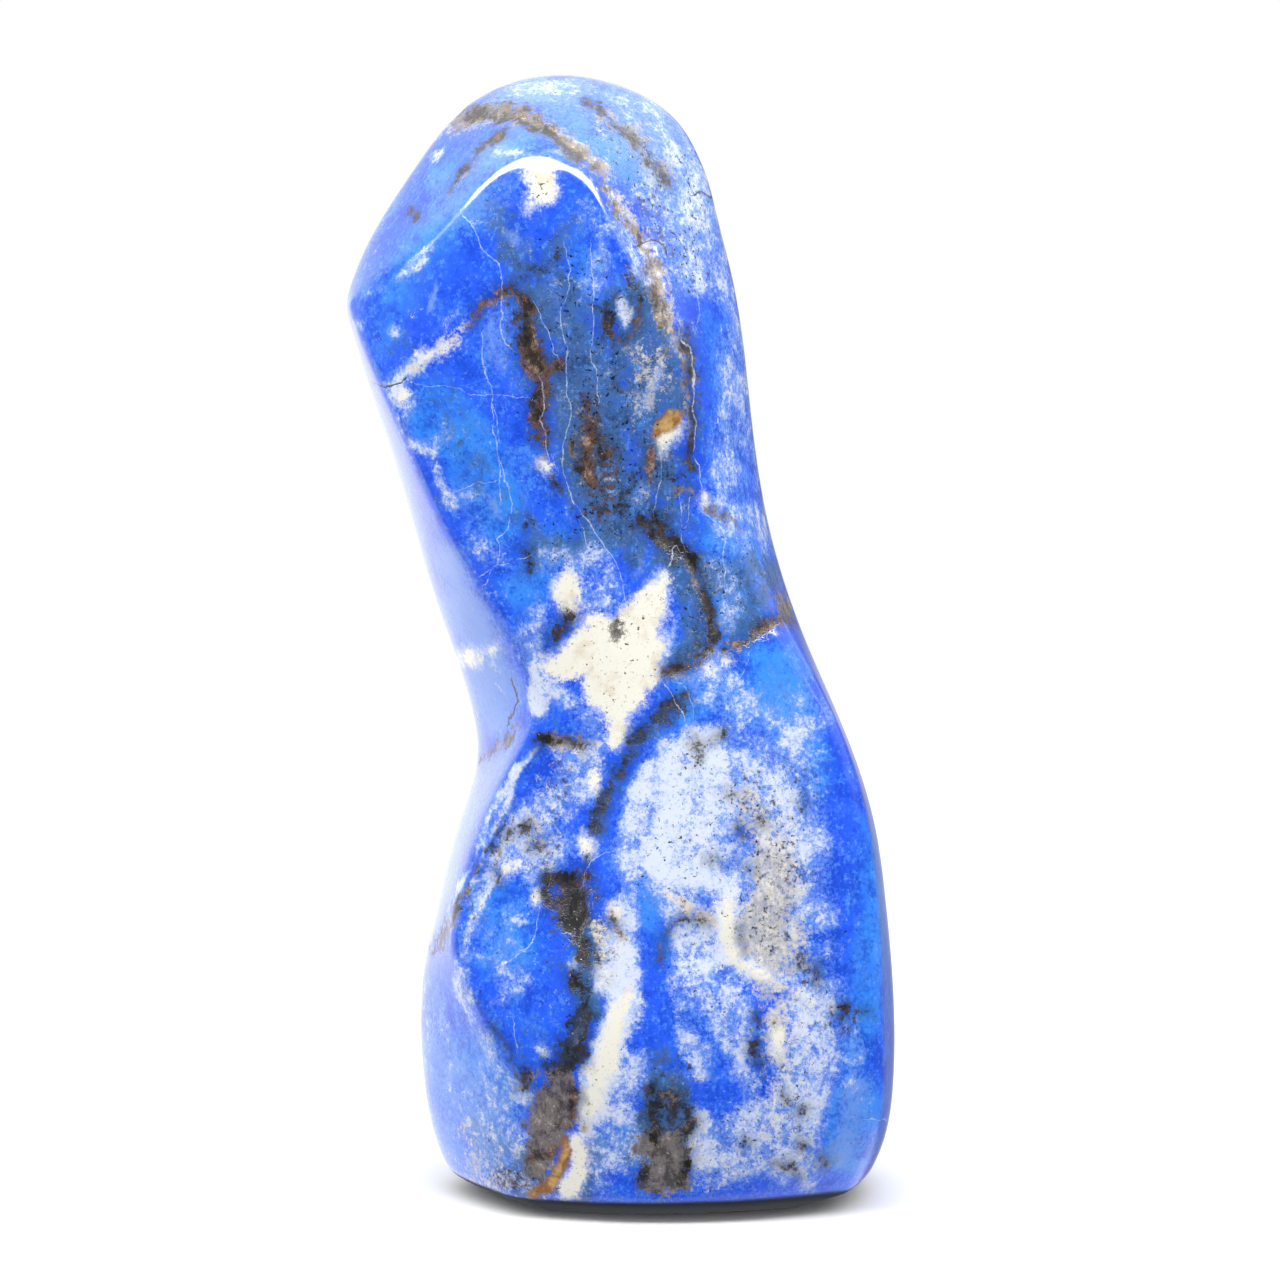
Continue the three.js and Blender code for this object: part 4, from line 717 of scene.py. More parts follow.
MARKINGS[Mineral.RISE] = (
    Mark("scar lip rise", ((11.5, 33, 0.33), (11.8, 29.7, 0.44), (11.8, 27.1, 0.44), (14.6, 24.9, 0.44),
        (17.7, 23.2, 0.44), (20.7, 21.6, 0.33)), 0.3, 0.7),
    Mark("scar rim rise", ((3.9, 26.1, 0.33), (4.5, 28.6, 0.44), (5.7, 30.5, 0.44), (7.6, 31.3, 0.44),
        (9.8, 30.1, 0.33)), 0.2, 0.7),
    Mark("scar floor dip", ((6.9, 27.9, 1.5), (8.9, 27.3, 2), (9.8, 25.7, 1.3)), -0.25, 1.5),
    Mark("matrix dip", ((14.6, 30.1, 1.3), (16.8, 27.9, 1.5), (19.4, 26.2, 1.1)), -0.2, 1.5),
    Mark("blade rise", ((-9.8, 49.1, 0.22), (-11.9, 45.8, 0.33), (-13.5, 42.5, 0.33), (-15.1, 38.3, 0.33),
        (-16.8, 33.9, 0.33), (-18.4, 30, 0.22)), 0.3, 0.7),
    Mark("blade dip", ((-11.3, 43.8, 0.33), (-12.9, 40.5, 0.44), (-14.2, 37.2, 0.44),
        (-15.7, 33.5, 0.33)), -0.25, 0.8),
    Mark("valley rise", ((-9.1, 51.5, 0.33), (-7.8, 49.1, 0.44), (-4.7, 48.4, 0.44),
        (-2.1, 49.1, 0.33)), 0.25, 0.7),
    Mark("valley dip", ((-7.8, 50.3, 0.44), (-5.3, 50, 0.44)), -0.25, 0.7),
    Mark("heel edge rise", ((-17.7, 25.6, 0.22), (-15.5, 21.8, 0.33), (-13.5, 17.9, 0.33),
        (-11.3, 13.9, 0.33), (-9.6, 11.7, 0.22)), 0.2, 0.8),
    Mark("waist vein dip", ((4.5, 58, 0.33), (8.4, 59.6, 0.33), (12.8, 61.1, 0.33),
        (17.9, 64, 0.33)), -0.2, 0.7),
    Mark("central dip", ((3.8, 74.6, 0.44), (5.4, 71.7, 0.55), (7.3, 70.2, 0.44), (8.9, 65.8, 0.44),
        (9.3, 60.3, 0.33)), -0.2, 0.7),
    Mark("arch rust dip", ((-15.1, 98.4, 0.44), (-12.2, 99.4, 0.55), (-10.5, 97, 0.55), (-10.2, 92.6, 0.66),
        (-8.9, 87.8, 0.44)), -0.2, 0.7),
    Mark("outer band dip", ((1.8, 105.4, 0.33), (3.6, 99.9, 0.55), (5.6, 95.2, 0.33), (7.8, 92.2, 0.33),
        (7.7, 81.2, 0.33)), -0.2, 0.7),
    Mark("cap band dip", ((-18.4, 118.5, 0.55), (-13.5, 119.4, 0.55), (-8.6, 118, 0.55), (-3.6, 114.1, 0.44),
        (-1.5, 111.4, 0.33)), -0.15, 0.8),
    Mark("big brown dip", ((-6.3, 33.7, 0.99), (-5.6, 31.7, 1.1), (-5.2, 29, 0.55)), -0.25, 0.8),
)
MARKINGS[Mineral.GRIT] = (
    Mark("grit field", ((14.2, 44.9, 2), (16.1, 41.6, 2.9), (17.2, 37.2, 3.1), (17.7, 32.8, 2.6),
        (16.1, 28.4, 2.4)), 0.62, 2.2),
    Mark("grit field dense", ((12.8, 44.3, 0.66), (14.2, 42.7, 0.88), (15, 39.9, 0.77), (15.3, 36.1, 0.77),
        (18.3, 35.5, 1.1), (20.5, 35.2, 0.66)), 0.85, 0.9),
    Mark("grit shoulder", ((17.2, 47.8, 1.1), (19, 47.1, 1.5), (20.7, 44.9, 1.8), (22.1, 47.1, 1.1),
        (19.4, 42.9, 1.3)), 0.72, 1.1),
    Mark("grit crown of field", ((7.1, 50.2, 0.44), (8.4, 49.1, 0.55), (6.5, 47.5, 0.44),
        (10.2, 50.8, 0.44)), 0.7, 0.5),
    Mark("grit white field", ((8.4, 43.8, 3.3), (7.3, 39.4, 3.3), (10.6, 37.2, 2.2)), 0.25, 1.8),
    Mark("grit lower field", ((7.3, 26.2, 2.2), (10.6, 21.8, 2.6), (12.8, 17.4, 2.2)), 0.3, 1.8),
    Mark("grit lip", ((14.6, 24.3, 0.55), (16.4, 22.9, 0.88), (18.3, 21.8, 0.88), (19.9, 23.4, 0.88),
        (19.4, 25.6, 0.99), (20.7, 27.3, 0.77)), 0.75, 0.9),
    Mark("grit slot", ((14.6, 20.5, 0.55), (14.8, 18.1, 0.77), (14.8, 15.2, 0.77),
        (15.5, 13, 0.55)), 0.95, 0.7),
    Mark("grit right", ((22.5, 21.4, 0.88), (24, 20.3, 0.99), (25.6, 20.7, 0.77), (24.7, 18.5, 0.77),
        (22.3, 19, 0.77)), 0.8, 0.9),
    Mark("grit low right", ((17.2, 16.3, 1.8), (18.3, 10.8, 2.2), (19.4, 5.4, 2.2), (15, 5.4, 1.8)), 0.5, 2),
    Mark("grit window", ((1.8, 13, 1.3), (4.5, 11.9, 2.4), (5.4, 8.6, 2), (7.3, 9.7, 1.3)), 0.7, 1.5),
    Mark("grit valley", ((-10.2, 40.5, 1.3), (-8.9, 38.3, 1.3), (-7.8, 36.3, 1.1), (-6.9, 43.8, 1.3),
        (-6.9, 48, 1.1)), 0.65, 1.3),
    Mark("grit stem", ((-3, 29.5, 1.1), (-2.5, 26.8, 1.3), (-2.1, 23.5, 1.1), (-1.2, 32.8, 0.66)), 0.6, 1.1),
    Mark("grit column", ((-2.5, 13, 1.3), (-3.6, 9.7, 1.3), (-5.4, 7.5, 1.1)), 0.35, 1.1),
    Mark("grit blade", ((-11.8, 42.5, 0.66), (-13.5, 38.3, 0.77), (-15.1, 34.6, 0.77), (-16.8, 30.6, 0.88),
        (-18.4, 27.3, 0.66)), 0.7, 0.8),
    Mark("grit corner", ((-17.7, 23.5, 0.44), (-16, 21.4, 0.44), (-14.6, 19, 0.55), (-12.7, 16.1, 0.55),
        (-11.3, 13.5, 0.88)), 0.8, 0.5),
    Mark("grit bulge", ((-19, 15.2, 2.6), (-15.7, 8.6, 2.9), (-13.5, 4.3, 2.2)), 0.3, 2.6),
    Mark("grit heel", ((-13.5, 2.1, 1.3), (-11.3, 1.6, 1.5), (-9.1, 2.5, 1.3)), 0.8, 1.1),
    Mark("grit big brown", ((-8.6, 35, 1.1), (-7.4, 29.5, 0.88), (-3.6, 32.8, 0.88),
        (-3, 35, 0.66)), 0.8, 0.9),
    Mark("grit arch", ((-13.5, 98.8, 0.88), (-12, 97.7, 1.3), (-10.9, 94.4, 2), (-9.1, 91.9, 1.8),
        (-9.1, 87.8, 1.5), (-8.7, 83.4, 1.3), (-8.7, 80.1, 1.1), (-6.9, 77.9, 0.88)), 0.95, 1.3),
    Mark("grit face", ((-4.3, 88.9, 1.3), (-3.6, 85.6, 1.8), (-3, 82.3, 2.2), (-2.5, 79, 2.2),
        (-3.6, 76.2, 1.5)), 0.85, 1.5),
    Mark("grit face low", ((-6.9, 74.6, 1.5), (-2.5, 73.5, 1.5), (1.8, 74.6, 1.5)), 0.45, 1.8),
    Mark("grit face dots", ((-10.7, 74.6, 0.44), (-10.7, 70.6, 0.66), (-10.5, 68.6, 0.44)), 0.8, 0.5),
    Mark("grit ring", ((-1.9, 95.9, 1.1), (-1, 94.8, 1.1), (1.2, 95.5, 0.77), (0.7, 98.8, 0.66),
        (-2.1, 97.7, 0.88)), 0.8, 0.8),
    Mark("grit central", ((2.4, 74.4, 0.88), (4.5, 72.8, 1.1), (6.9, 70.6, 0.99), (8.8, 66.9, 0.88),
        (9.3, 62.5, 0.99), (8.4, 70.2, 0.88)), 0.8, 0.9),
    Mark("grit outer band", ((7.1, 94.4, 0.66), (7.8, 91.1, 0.55), (7.7, 85.6, 0.55),
        (7.3, 81.2, 0.55)), 0.7, 0.7),
    Mark("grit knot", ((5.8, 78.5, 0.88), (7.8, 77, 0.77), (10.2, 75.2, 0.66)), 0.75, 0.8),
    Mark("grit cap band", ((-18.5, 118.1, 0.99), (-16.4, 119.4, 1.2), (-13.5, 119.9, 1.3),
        (-10.2, 119.2, 1.3), (-7.4, 117.2, 1.2), (-4.5, 115, 1.1), (-2.3, 112.8, 0.99),
        (-1, 110, 0.88)), 0.8, 0.9),
    Mark("grit cap branch", ((-13.5, 117.2, 0.77), (-15.5, 115.2, 0.66), (-17.3, 113.3, 0.55),
        (-18.8, 111.3, 0.55)), 0.8, 0.7),
    Mark("grit cap right", ((-3, 120.3, 0.55), (-1.2, 118.8, 0.66), (0.7, 117, 0.88), (2.7, 115, 0.99),
        (4.5, 112.8, 0.88), (2.9, 107.5, 1.5), (5.1, 104.3, 1.3), (1.8, 109.7, 1.1)), 0.75, 1.1),
    Mark("grit right flank", ((15, 85.6, 1.3), (15.7, 79, 1.3), (16.4, 72.4, 1.3)), 0.4, 1.3),
    Mark("grit waist vein", ((4.9, 58.1, 0.77), (8.4, 59.5, 0.77), (12.8, 61.2, 0.77),
        (17.2, 64.5, 0.88)), 0.85, 0.7),
    Mark("grit stringer", ((6.5, 55.5, 0.88), (4.5, 53.7, 0.88), (2.1, 51.3, 0.77), (1, 49.5, 0.66),
        (0.1, 47.1, 0.77), (-1.9, 44.3, 0.77), (-2.8, 41.4, 0.66), (-3.9, 38.3, 0.66)), 0.85, 0.8),
    Mark("foot window grit", ((3.4, 12.6, 0.88), (3.6, 9.7, 1.3), (5.4, 10.8, 1.3), (6.7, 9.1, 1.3),
        (5.1, 7.5, 1.3)), 0.95, 0.9),
    Mark("foot window top", ((4, 14.8, 1.3), (6.5, 14.1, 1.3), (7.6, 12.4, 1.1)), 0.8, 1.1),
    Mark("grit steel face", ((-6.9, 99.9, 2.2), (-2.5, 96.6, 3.3), (-0.4, 90, 4), (-1.5, 83.4, 3.3),
        (1.8, 80.1, 3.3), (1.8, 75.7, 2.2)), 0.42, 2.2),
    Mark("grit steel waist", ((8.4, 70.2, 1.8), (12.8, 68, 2.6), (15, 65.8, 2.2),
        (11.7, 63.6, 2.2)), 0.4, 1.8),
    Mark("grit field more", ((13.5, 46.5, 1.3), (15, 43.8, 2), (16.1, 38.3, 2.4), (17, 32.8, 2.4),
        (15.9, 28.4, 2)), 0.66, 1.8),
    Mark("olive dust", ((-4.1, 88.3, 1.3), (-3.6, 85, 1.5), (-2.5, 81.7, 2), (-2.3, 78.4, 2),
        (-2.5, 75.1, 1.5)), 1, 1.5),
    Mark("heel dust", ((-13.5, 2.3, 1.1), (-11.3, 1.4, 1.3), (-9.6, 2.1, 1.1)), 0.95, 0.9),
    Mark("foot window navy", ((3.6, 15.7, 0.88), (4.9, 15, 0.99), (6.7, 14.4, 0.88)), 0.75, 1.1),
)
CRACKS: dict[Crack, tuple[CrackLine, ...]] = {}
CRACKS[Crack.ACROSS] = (
    CrackLine("H one", ((-24.1, 89.9), (-22.8, 89.4), (-20.4, 89.1), (-18, 88.9), (-15.7, 88.4),
        (-14.5, 88.4), (-12.7, 88.1), (-10.8, 87.7))),
    CrackLine("cross left", ((-18.6, 77.7), (-17.4, 78.2), (-16.1, 78.9), (-13.6, 79.1))),
    CrackLine("cross low", ((-15.2, 68.9), (-13.3, 69.5), (-11, 70.2))),
    CrackLine("stem hair", ((-1.2, 38.2), (-2.5, 37.7), (-3.6, 37), (-4.3, 35.9), (-4.7, 34.6))),
    CrackLine("panel hair b", ((-13, 25.7), (-11.3, 26.8))),
    CrackLine("right rim hair", ((26.2, 8.8), (27.7, 8.8), (29.1, 8.6))),
)
CRACKS[Crack.UP_LEFT] = (
    CrackLine("crown left", ((-17.4, 107.9), (-16.4, 105.9), (-15.4, 104.6), (-14.7, 103.8), (-13.6, 102.6),
        (-13.2, 101.2), (-13.4, 99.7), (-13.6, 96.9), (-13.5, 95.6), (-12.8, 93.8))),
    CrackLine("long left", ((-15.3, 95.1), (-15.1, 91.2), (-14.5, 89.2), (-14.5, 87.7), (-14, 85.8),
        (-13.9, 83.7), (-14, 81.9), (-13.3, 80.2), (-12.9, 78.6), (-12.3, 77.1), (-12.1, 75), (-12.8, 73.3),
        (-13.9, 72.4), (-13.6, 70.7), (-13.5, 69.6), (-14.6, 68.6), (-15.2, 67.8))),
    CrackLine("middle strand", ((-4.5, 73.7), (-4, 72.3), (-3.9, 70.8), (-4.7, 68.8))),
    CrackLine("straight", ((-3.4, 104.5), (-3.6, 98.1), (-3.5, 94.3), (-3.2, 90.8), (-2.8, 87.9))),
    CrackLine("middle fork", ((-9.6, 98.1), (-8.6, 96.3), (-8, 94.8), (-7.4, 93))),
    CrackLine("right short", ((-0.6, 106.7), (1, 103.6), (1.8, 100.7))),
    CrackLine("strip hair", ((8.2, 100.4), (8.1, 98.8), (8.3, 97.1), (8.2, 96))),
    CrackLine("outer hair", ((6.7, 94.8), (7.5, 93.9), (8, 92.6), (8, 90), (7.8, 86.7), (7.9, 82.7),
        (8.3, 80.3), (8.4, 78.5), (8.2, 76.8))),
    CrackLine("down a", ((7.1, 76.6), (6.8, 74.9), (6.6, 74))),
    CrackLine("down c", ((9.3, 75.2), (9.9, 74.4), (10.7, 73.9), (11, 71.5), (11.1, 68.8), (11.1, 66.9))),
    CrackLine("below kite a", ((4.3, 57.2), (5.3, 55.2), (6.2, 53.6), (6.9, 51.9))),
    CrackLine("shoulder hair b", ((11.5, 57.7), (12.2, 55.9), (12.4, 53.9))),
    CrackLine("panel hair", ((-9.6, 30.8), (-9.9, 29), (-10.6, 27.9), (-11.3, 27))),
    CrackLine("foot hair", ((-11.9, 19.5), (-11.7, 18.1), (-11.5, 16.6))),
    CrackLine("mid hair", ((-9, 90), (-8.8, 85.6), (-8.5, 83.4), (-8, 81.7))),
)
CRACKS[Crack.UP_RIGHT] = (
    CrackLine("long left strand", ((-14.5, 87.7), (-14.5, 84.3), (-13.8, 81.7), (-13.5, 79.3),
        (-13.5, 76.3))),
    CrackLine("middle", ((-6.2, 104.3), (-5.8, 102.3), (-6.1, 100.3), (-6.8, 97.8), (-6.8, 95.6),
        (-6.3, 93.5), (-6.4, 91.2), (-6.2, 88.9), (-5.8, 86.2), (-6.1, 84.5), (-6.7, 81.4), (-6.4, 79.3),
        (-6, 77.2), (-4.9, 75.2), (-3.8, 74.3), (-2.7, 73.2), (-2, 71.8), (-1, 70.2), (-0.4, 68.4),
        (0.1, 67.3), (0.3, 65.8), (0.5, 64.5))),
    CrackLine("lens hair", ((3.8, 82.6), (4.4, 81), (4.4, 79.1), (4.2, 77.8), (3.9, 75.8))),
    CrackLine("down b", ((6.1, 76.6), (5.9, 74.4), (6.2, 72.7), (6.7, 71.8))),
    CrackLine("fork low", ((5.4, 71.4), (5.3, 70.2), (4.9, 68.9), (4.9, 67.5))),
    CrackLine("below kite b", ((6.1, 57.2), (7.1, 56), (7.5, 53.9))),
    CrackLine("shoulder hair", ((14, 60.3), (13.6, 59), (12.9, 57.1))),
)
CRACKS[Crack.STAINED] = (
    CrackLine("edge crack", ((-26.7, 89.5), (-25.6, 89.6), (-24.1, 89.7))),
    CrackLine("band crack", ((1.5, 104.9), (2.4, 105.2), (3.3, 105.5), (3.9, 105.1), (4.3, 104))),
    CrackLine("rim crack", ((8.1, 110.4), (9.8, 110.3))),
    CrackLine("flank crack", ((-12.2, 57), (-11.9, 55.9), (-11.7, 54.8), (-11.9, 53.6), (-12.7, 51.8))),
)


@dataclass(frozen=True)
class Outlook:
    """The eye that the stone is laid out for: where it stands and what it looks at."""

    aim: tuple[float, float, float] = (1.85, 0.0, 61.4)   # mm
    distance: float = 560.0
    rise: float = 6.5             # degrees above level
    width: float = 140.66         # mm across the picture at the aim
    sensor: float = 36.0

    @property
    def ahead(self) -> np.ndarray:
        """The unit vector from the eye to the aim."""
        rise = math.radians(self.rise)
        return np.array([0.0, math.cos(rise), -math.sin(rise)])

    @property
    def eye(self) -> np.ndarray:
        """The eye's place in millimetres."""
        return np.array(self.aim) - self.distance * self.ahead

    def flatten(self, points: np.ndarray) -> np.ndarray:
        """Projects points from the eye to the upright front-view plane.

        Args:
            points: Points in millimetres, one row each.

        Returns:
            Their places across and up, in millimetres at the aim's distance.
        """
        across = np.array([1.0, 0.0, 0.0])
        up = np.cross(across, self.ahead)
        rays = points - self.eye
        scale = self.distance / (rays @ self.ahead)
        return np.stack([self.aim[0] + rays @ across * scale,
                         self.aim[2] + rays @ up * scale], axis=-1)

    def camera(self) -> bpy.types.Object:
        """Makes the camera and gives it to the scene.

        Returns:
            The camera object.
        """
        lens = bpy.data.cameras.new("camera")
        lens.sensor_width = self.sensor
        lens.lens = self.sensor * self.distance / self.width
        lens.clip_start, lens.clip_end = 0.01, 20.0
        seat = bpy.data.objects.new("camera", lens)
        seat.location = Vector(self.eye) * MM
        seat.rotation_euler = (math.radians(90.0 - self.rise), 0.0, 0.0)
        bpy.context.scene.collection.objects.link(seat)
        bpy.context.scene.camera = seat
        return seat


class Wire:
    """A shader socket that can be used in sums."""

    def __init__(self, bench: "Bench", socket: bpy.types.NodeSocket) -> None:
        """Keeps the bench that adds nodes and the socket that gives the value."""
        self.bench = bench
        self.socket = socket

    def _sum(self, operation: str, left: object, right: object) -> "Wire":
        """Adds a Math node for two values."""
        return self.bench.node("ShaderNodeMath", {"operation": operation}, {0: left, 1: right})

    def __add__(self, other: object) -> "Wire":
        """self + other."""
        return self._sum("ADD", self, other)

    def __radd__(self, other: object) -> "Wire":
        """other + self."""
        return self._sum("ADD", other, self)

    def __sub__(self, other: object) -> "Wire":
        """self - other."""
        return self._sum("SUBTRACT", self, other)

    def __rsub__(self, other: object) -> "Wire":
        """other - self."""
        return self._sum("SUBTRACT", other, self)

    def __mul__(self, other: object) -> "Wire":
        """self * other."""
        return self._sum("MULTIPLY", self, other)

    def __rmul__(self, other: object) -> "Wire":
        """other * self."""
        return self._sum("MULTIPLY", other, self)

    def __abs__(self) -> "Wire":
        """The size of the value without its sign."""
        return self.bench.node("ShaderNodeMath", {"operation": "ABSOLUTE"}, {0: self})

    def most(self, other: object) -> "Wire":
        """The larger of the two values."""
        return self._sum("MAXIMUM", self, other)


class Bench:
    """The workbench for one material's nodes."""

    def __init__(self, tree: bpy.types.NodeTree) -> None:
        """Clears the node tree and takes its Object coordinates.

        Args:
            tree: The node tree to fill.
        """
        tree.nodes.clear()
        self.tree = tree
        self.place = self.node("ShaderNodeTexCoord", out="Object")

    def node(self, kind: str, settings: dict | None = None,
             sockets: dict | None = None, out: int | str = 0) -> Wire:
        """Adds one node.

        Args:
            kind: The node's type name.
            settings: Node properties, set before its sockets.
            sockets: Values or wires for the inputs, by index or name.
            out: The output to hand back.

        Returns:
            The chosen output as a wire.
        """
        node = self.tree.nodes.new(kind)
        for key, value in (settings or {}).items():
            setattr(node, key, value)
        for key, value in (sockets or {}).items():
            if isinstance(value, Wire):
                self.tree.links.new(value.socket, node.inputs[key])
            else:
                node.inputs[key].default_value = value
        return Wire(self, node.outputs[out])

    def mark(self, name: str) -> Wire:
        """Reads a mesh attribute by name."""
        return self.node("ShaderNodeAttribute", {"attribute_name": name}, out="Fac")

    def grain(self, size: float, detail: float = 4.0, rough: float = 0.6,
              twist: float = 0.0, place: Wire | None = None) -> Wire:
        """Adds cloudy noise.

        Args:
            size: The size of its largest clouds in millimetres.
            detail: How many finer layers it has.
            rough: How strong the finer layers are.
            twist: How far the noise is folded over itself.
            place: Where it is read, or the Object coordinates.

        Returns:
            The noise, from 0 to 1 around 0.5.
        """
        return self.node("ShaderNodeTexNoise", {"noise_dimensions": "3D"},
                         {"Vector": place or self.place, "Scale": 1.0 / (size * MM),
                          "Detail": detail, "Roughness": rough, "Distortion": twist})

    def moved(self, by: tuple[float, float, float],
              stretch: tuple[float, float, float] = (1.0, 1.0, 1.0)) -> Wire:
        """Gives coordinates shifted by millimetres and squeezed along the axes."""
        return self.node("ShaderNodeMapping", {"vector_type": "POINT"},
                         {"Vector": self.place, "Location": [v * MM for v in by],
                          "Scale": stretch})

    def step(self, value: Wire, low: float | Wire, high: float | Wire) -> Wire:
        """Rises smoothly from 0 at low to 1 at high."""
        return self.node("ShaderNodeMapRange",
                         {"interpolation_type": "SMOOTHSTEP", "clamp": True},
                         {"Value": value, "From Min": low, "From Max": high})

    def stir(self, value: Wire, *swings: tuple[Wire, float]) -> Wire:
        """Unsettles a value by noises.

        Args:
            value: The value.
            swings: Each noise, which swings round 0.5, and how strongly it acts.

        Returns:
            The unsettled value.
        """
        for cloud, strength in swings:
            value = value + (cloud - 0.5) * strength
        return value

    def blend(self, share: Wire | float, below: Wire | Colour, above: Wire | Colour) -> Wire:
        """Lays one colour over another by a share."""
        return self.node("ShaderNodeMix", {"data_type": "RGBA", "clamp_factor": True},
                         {0: share, 6: below, 7: above}, out=2)

    def close(self, shader: Wire, kind: str = "ShaderNodeOutputMaterial") -> None:
        """Joins the shader to an output node of the given kind."""
        self.tree.links.new(shader.socket, self.tree.nodes.new(kind).inputs["Surface"])


class Ground:
    """What all parts of the material share: the minerals' fields and the noises.

    The noises run from the broadest clouds to the finest flour; the first number of
    each is the size of its largest clouds in mm.
    """

    def __init__(self, bench: Bench) -> None:
        """Adds the fields and the noises.

        Args:
            bench: Where the nodes are added.
        """
        self.field = {mineral: bench.mark(mineral.value) for mineral in SHOWN}
        self.clouds = bench.grain(9.0, 5, 0.55, 0.6)
        self.drift = bench.grain(4.0, 5, 0.6, 0.4, bench.moved((7, 3, 5)))
        self.patch = bench.grain(2.2, 6, 0.72, 0.3, bench.moved((2, 8, 6)))
        self.vein = bench.grain(1.7, 6, 0.82, 0.3, bench.moved((6, 6, 1), (1.0, 1.0, 0.8)))
        self.fibre = bench.grain(1.6, 6, 0.75, 0.5, bench.moved((11, 2, 4), (1.0, 1.0, 0.7)))
        self.fleck = bench.grain(1.6, 5, 0.65, 0.2, bench.moved((1.6, 2, 3)))
        self.fine = bench.grain(0.9, 5, 0.8)
        self.tone = bench.grain(0.7, 4, 0.75, 0.0, bench.moved((2, 6, 6)))
        self.dust = bench.grain(0.45, 3, 0.6, 0.0, bench.moved((3, 9, 1)))
        self.flour = bench.grain(0.42, 3, 0.8, 0.0, bench.moved((5, 1, 9)))


@dataclass(frozen=True)
class Earth:
    """The filling of an earthy vein: dark, middle and bright grains, and a ragged edge."""

    dark: Colour
    middle: Colour
    bright: Colour
    ragged: float    # mm

    def colour(self, bench: Bench, grains: Wire) -> Wire:
        """Colours the filling by its grain.

        Args:
            bench: Where the nodes are added.
            grains: The noise that sorts the grains.

        Returns:
            The filling's colour.
        """
        body = bench.blend(bench.step(grains, 0.43, 0.52), self.dark, self.middle)
        return bench.blend(bench.step(grains, 0.56, 0.62), body, self.bright)


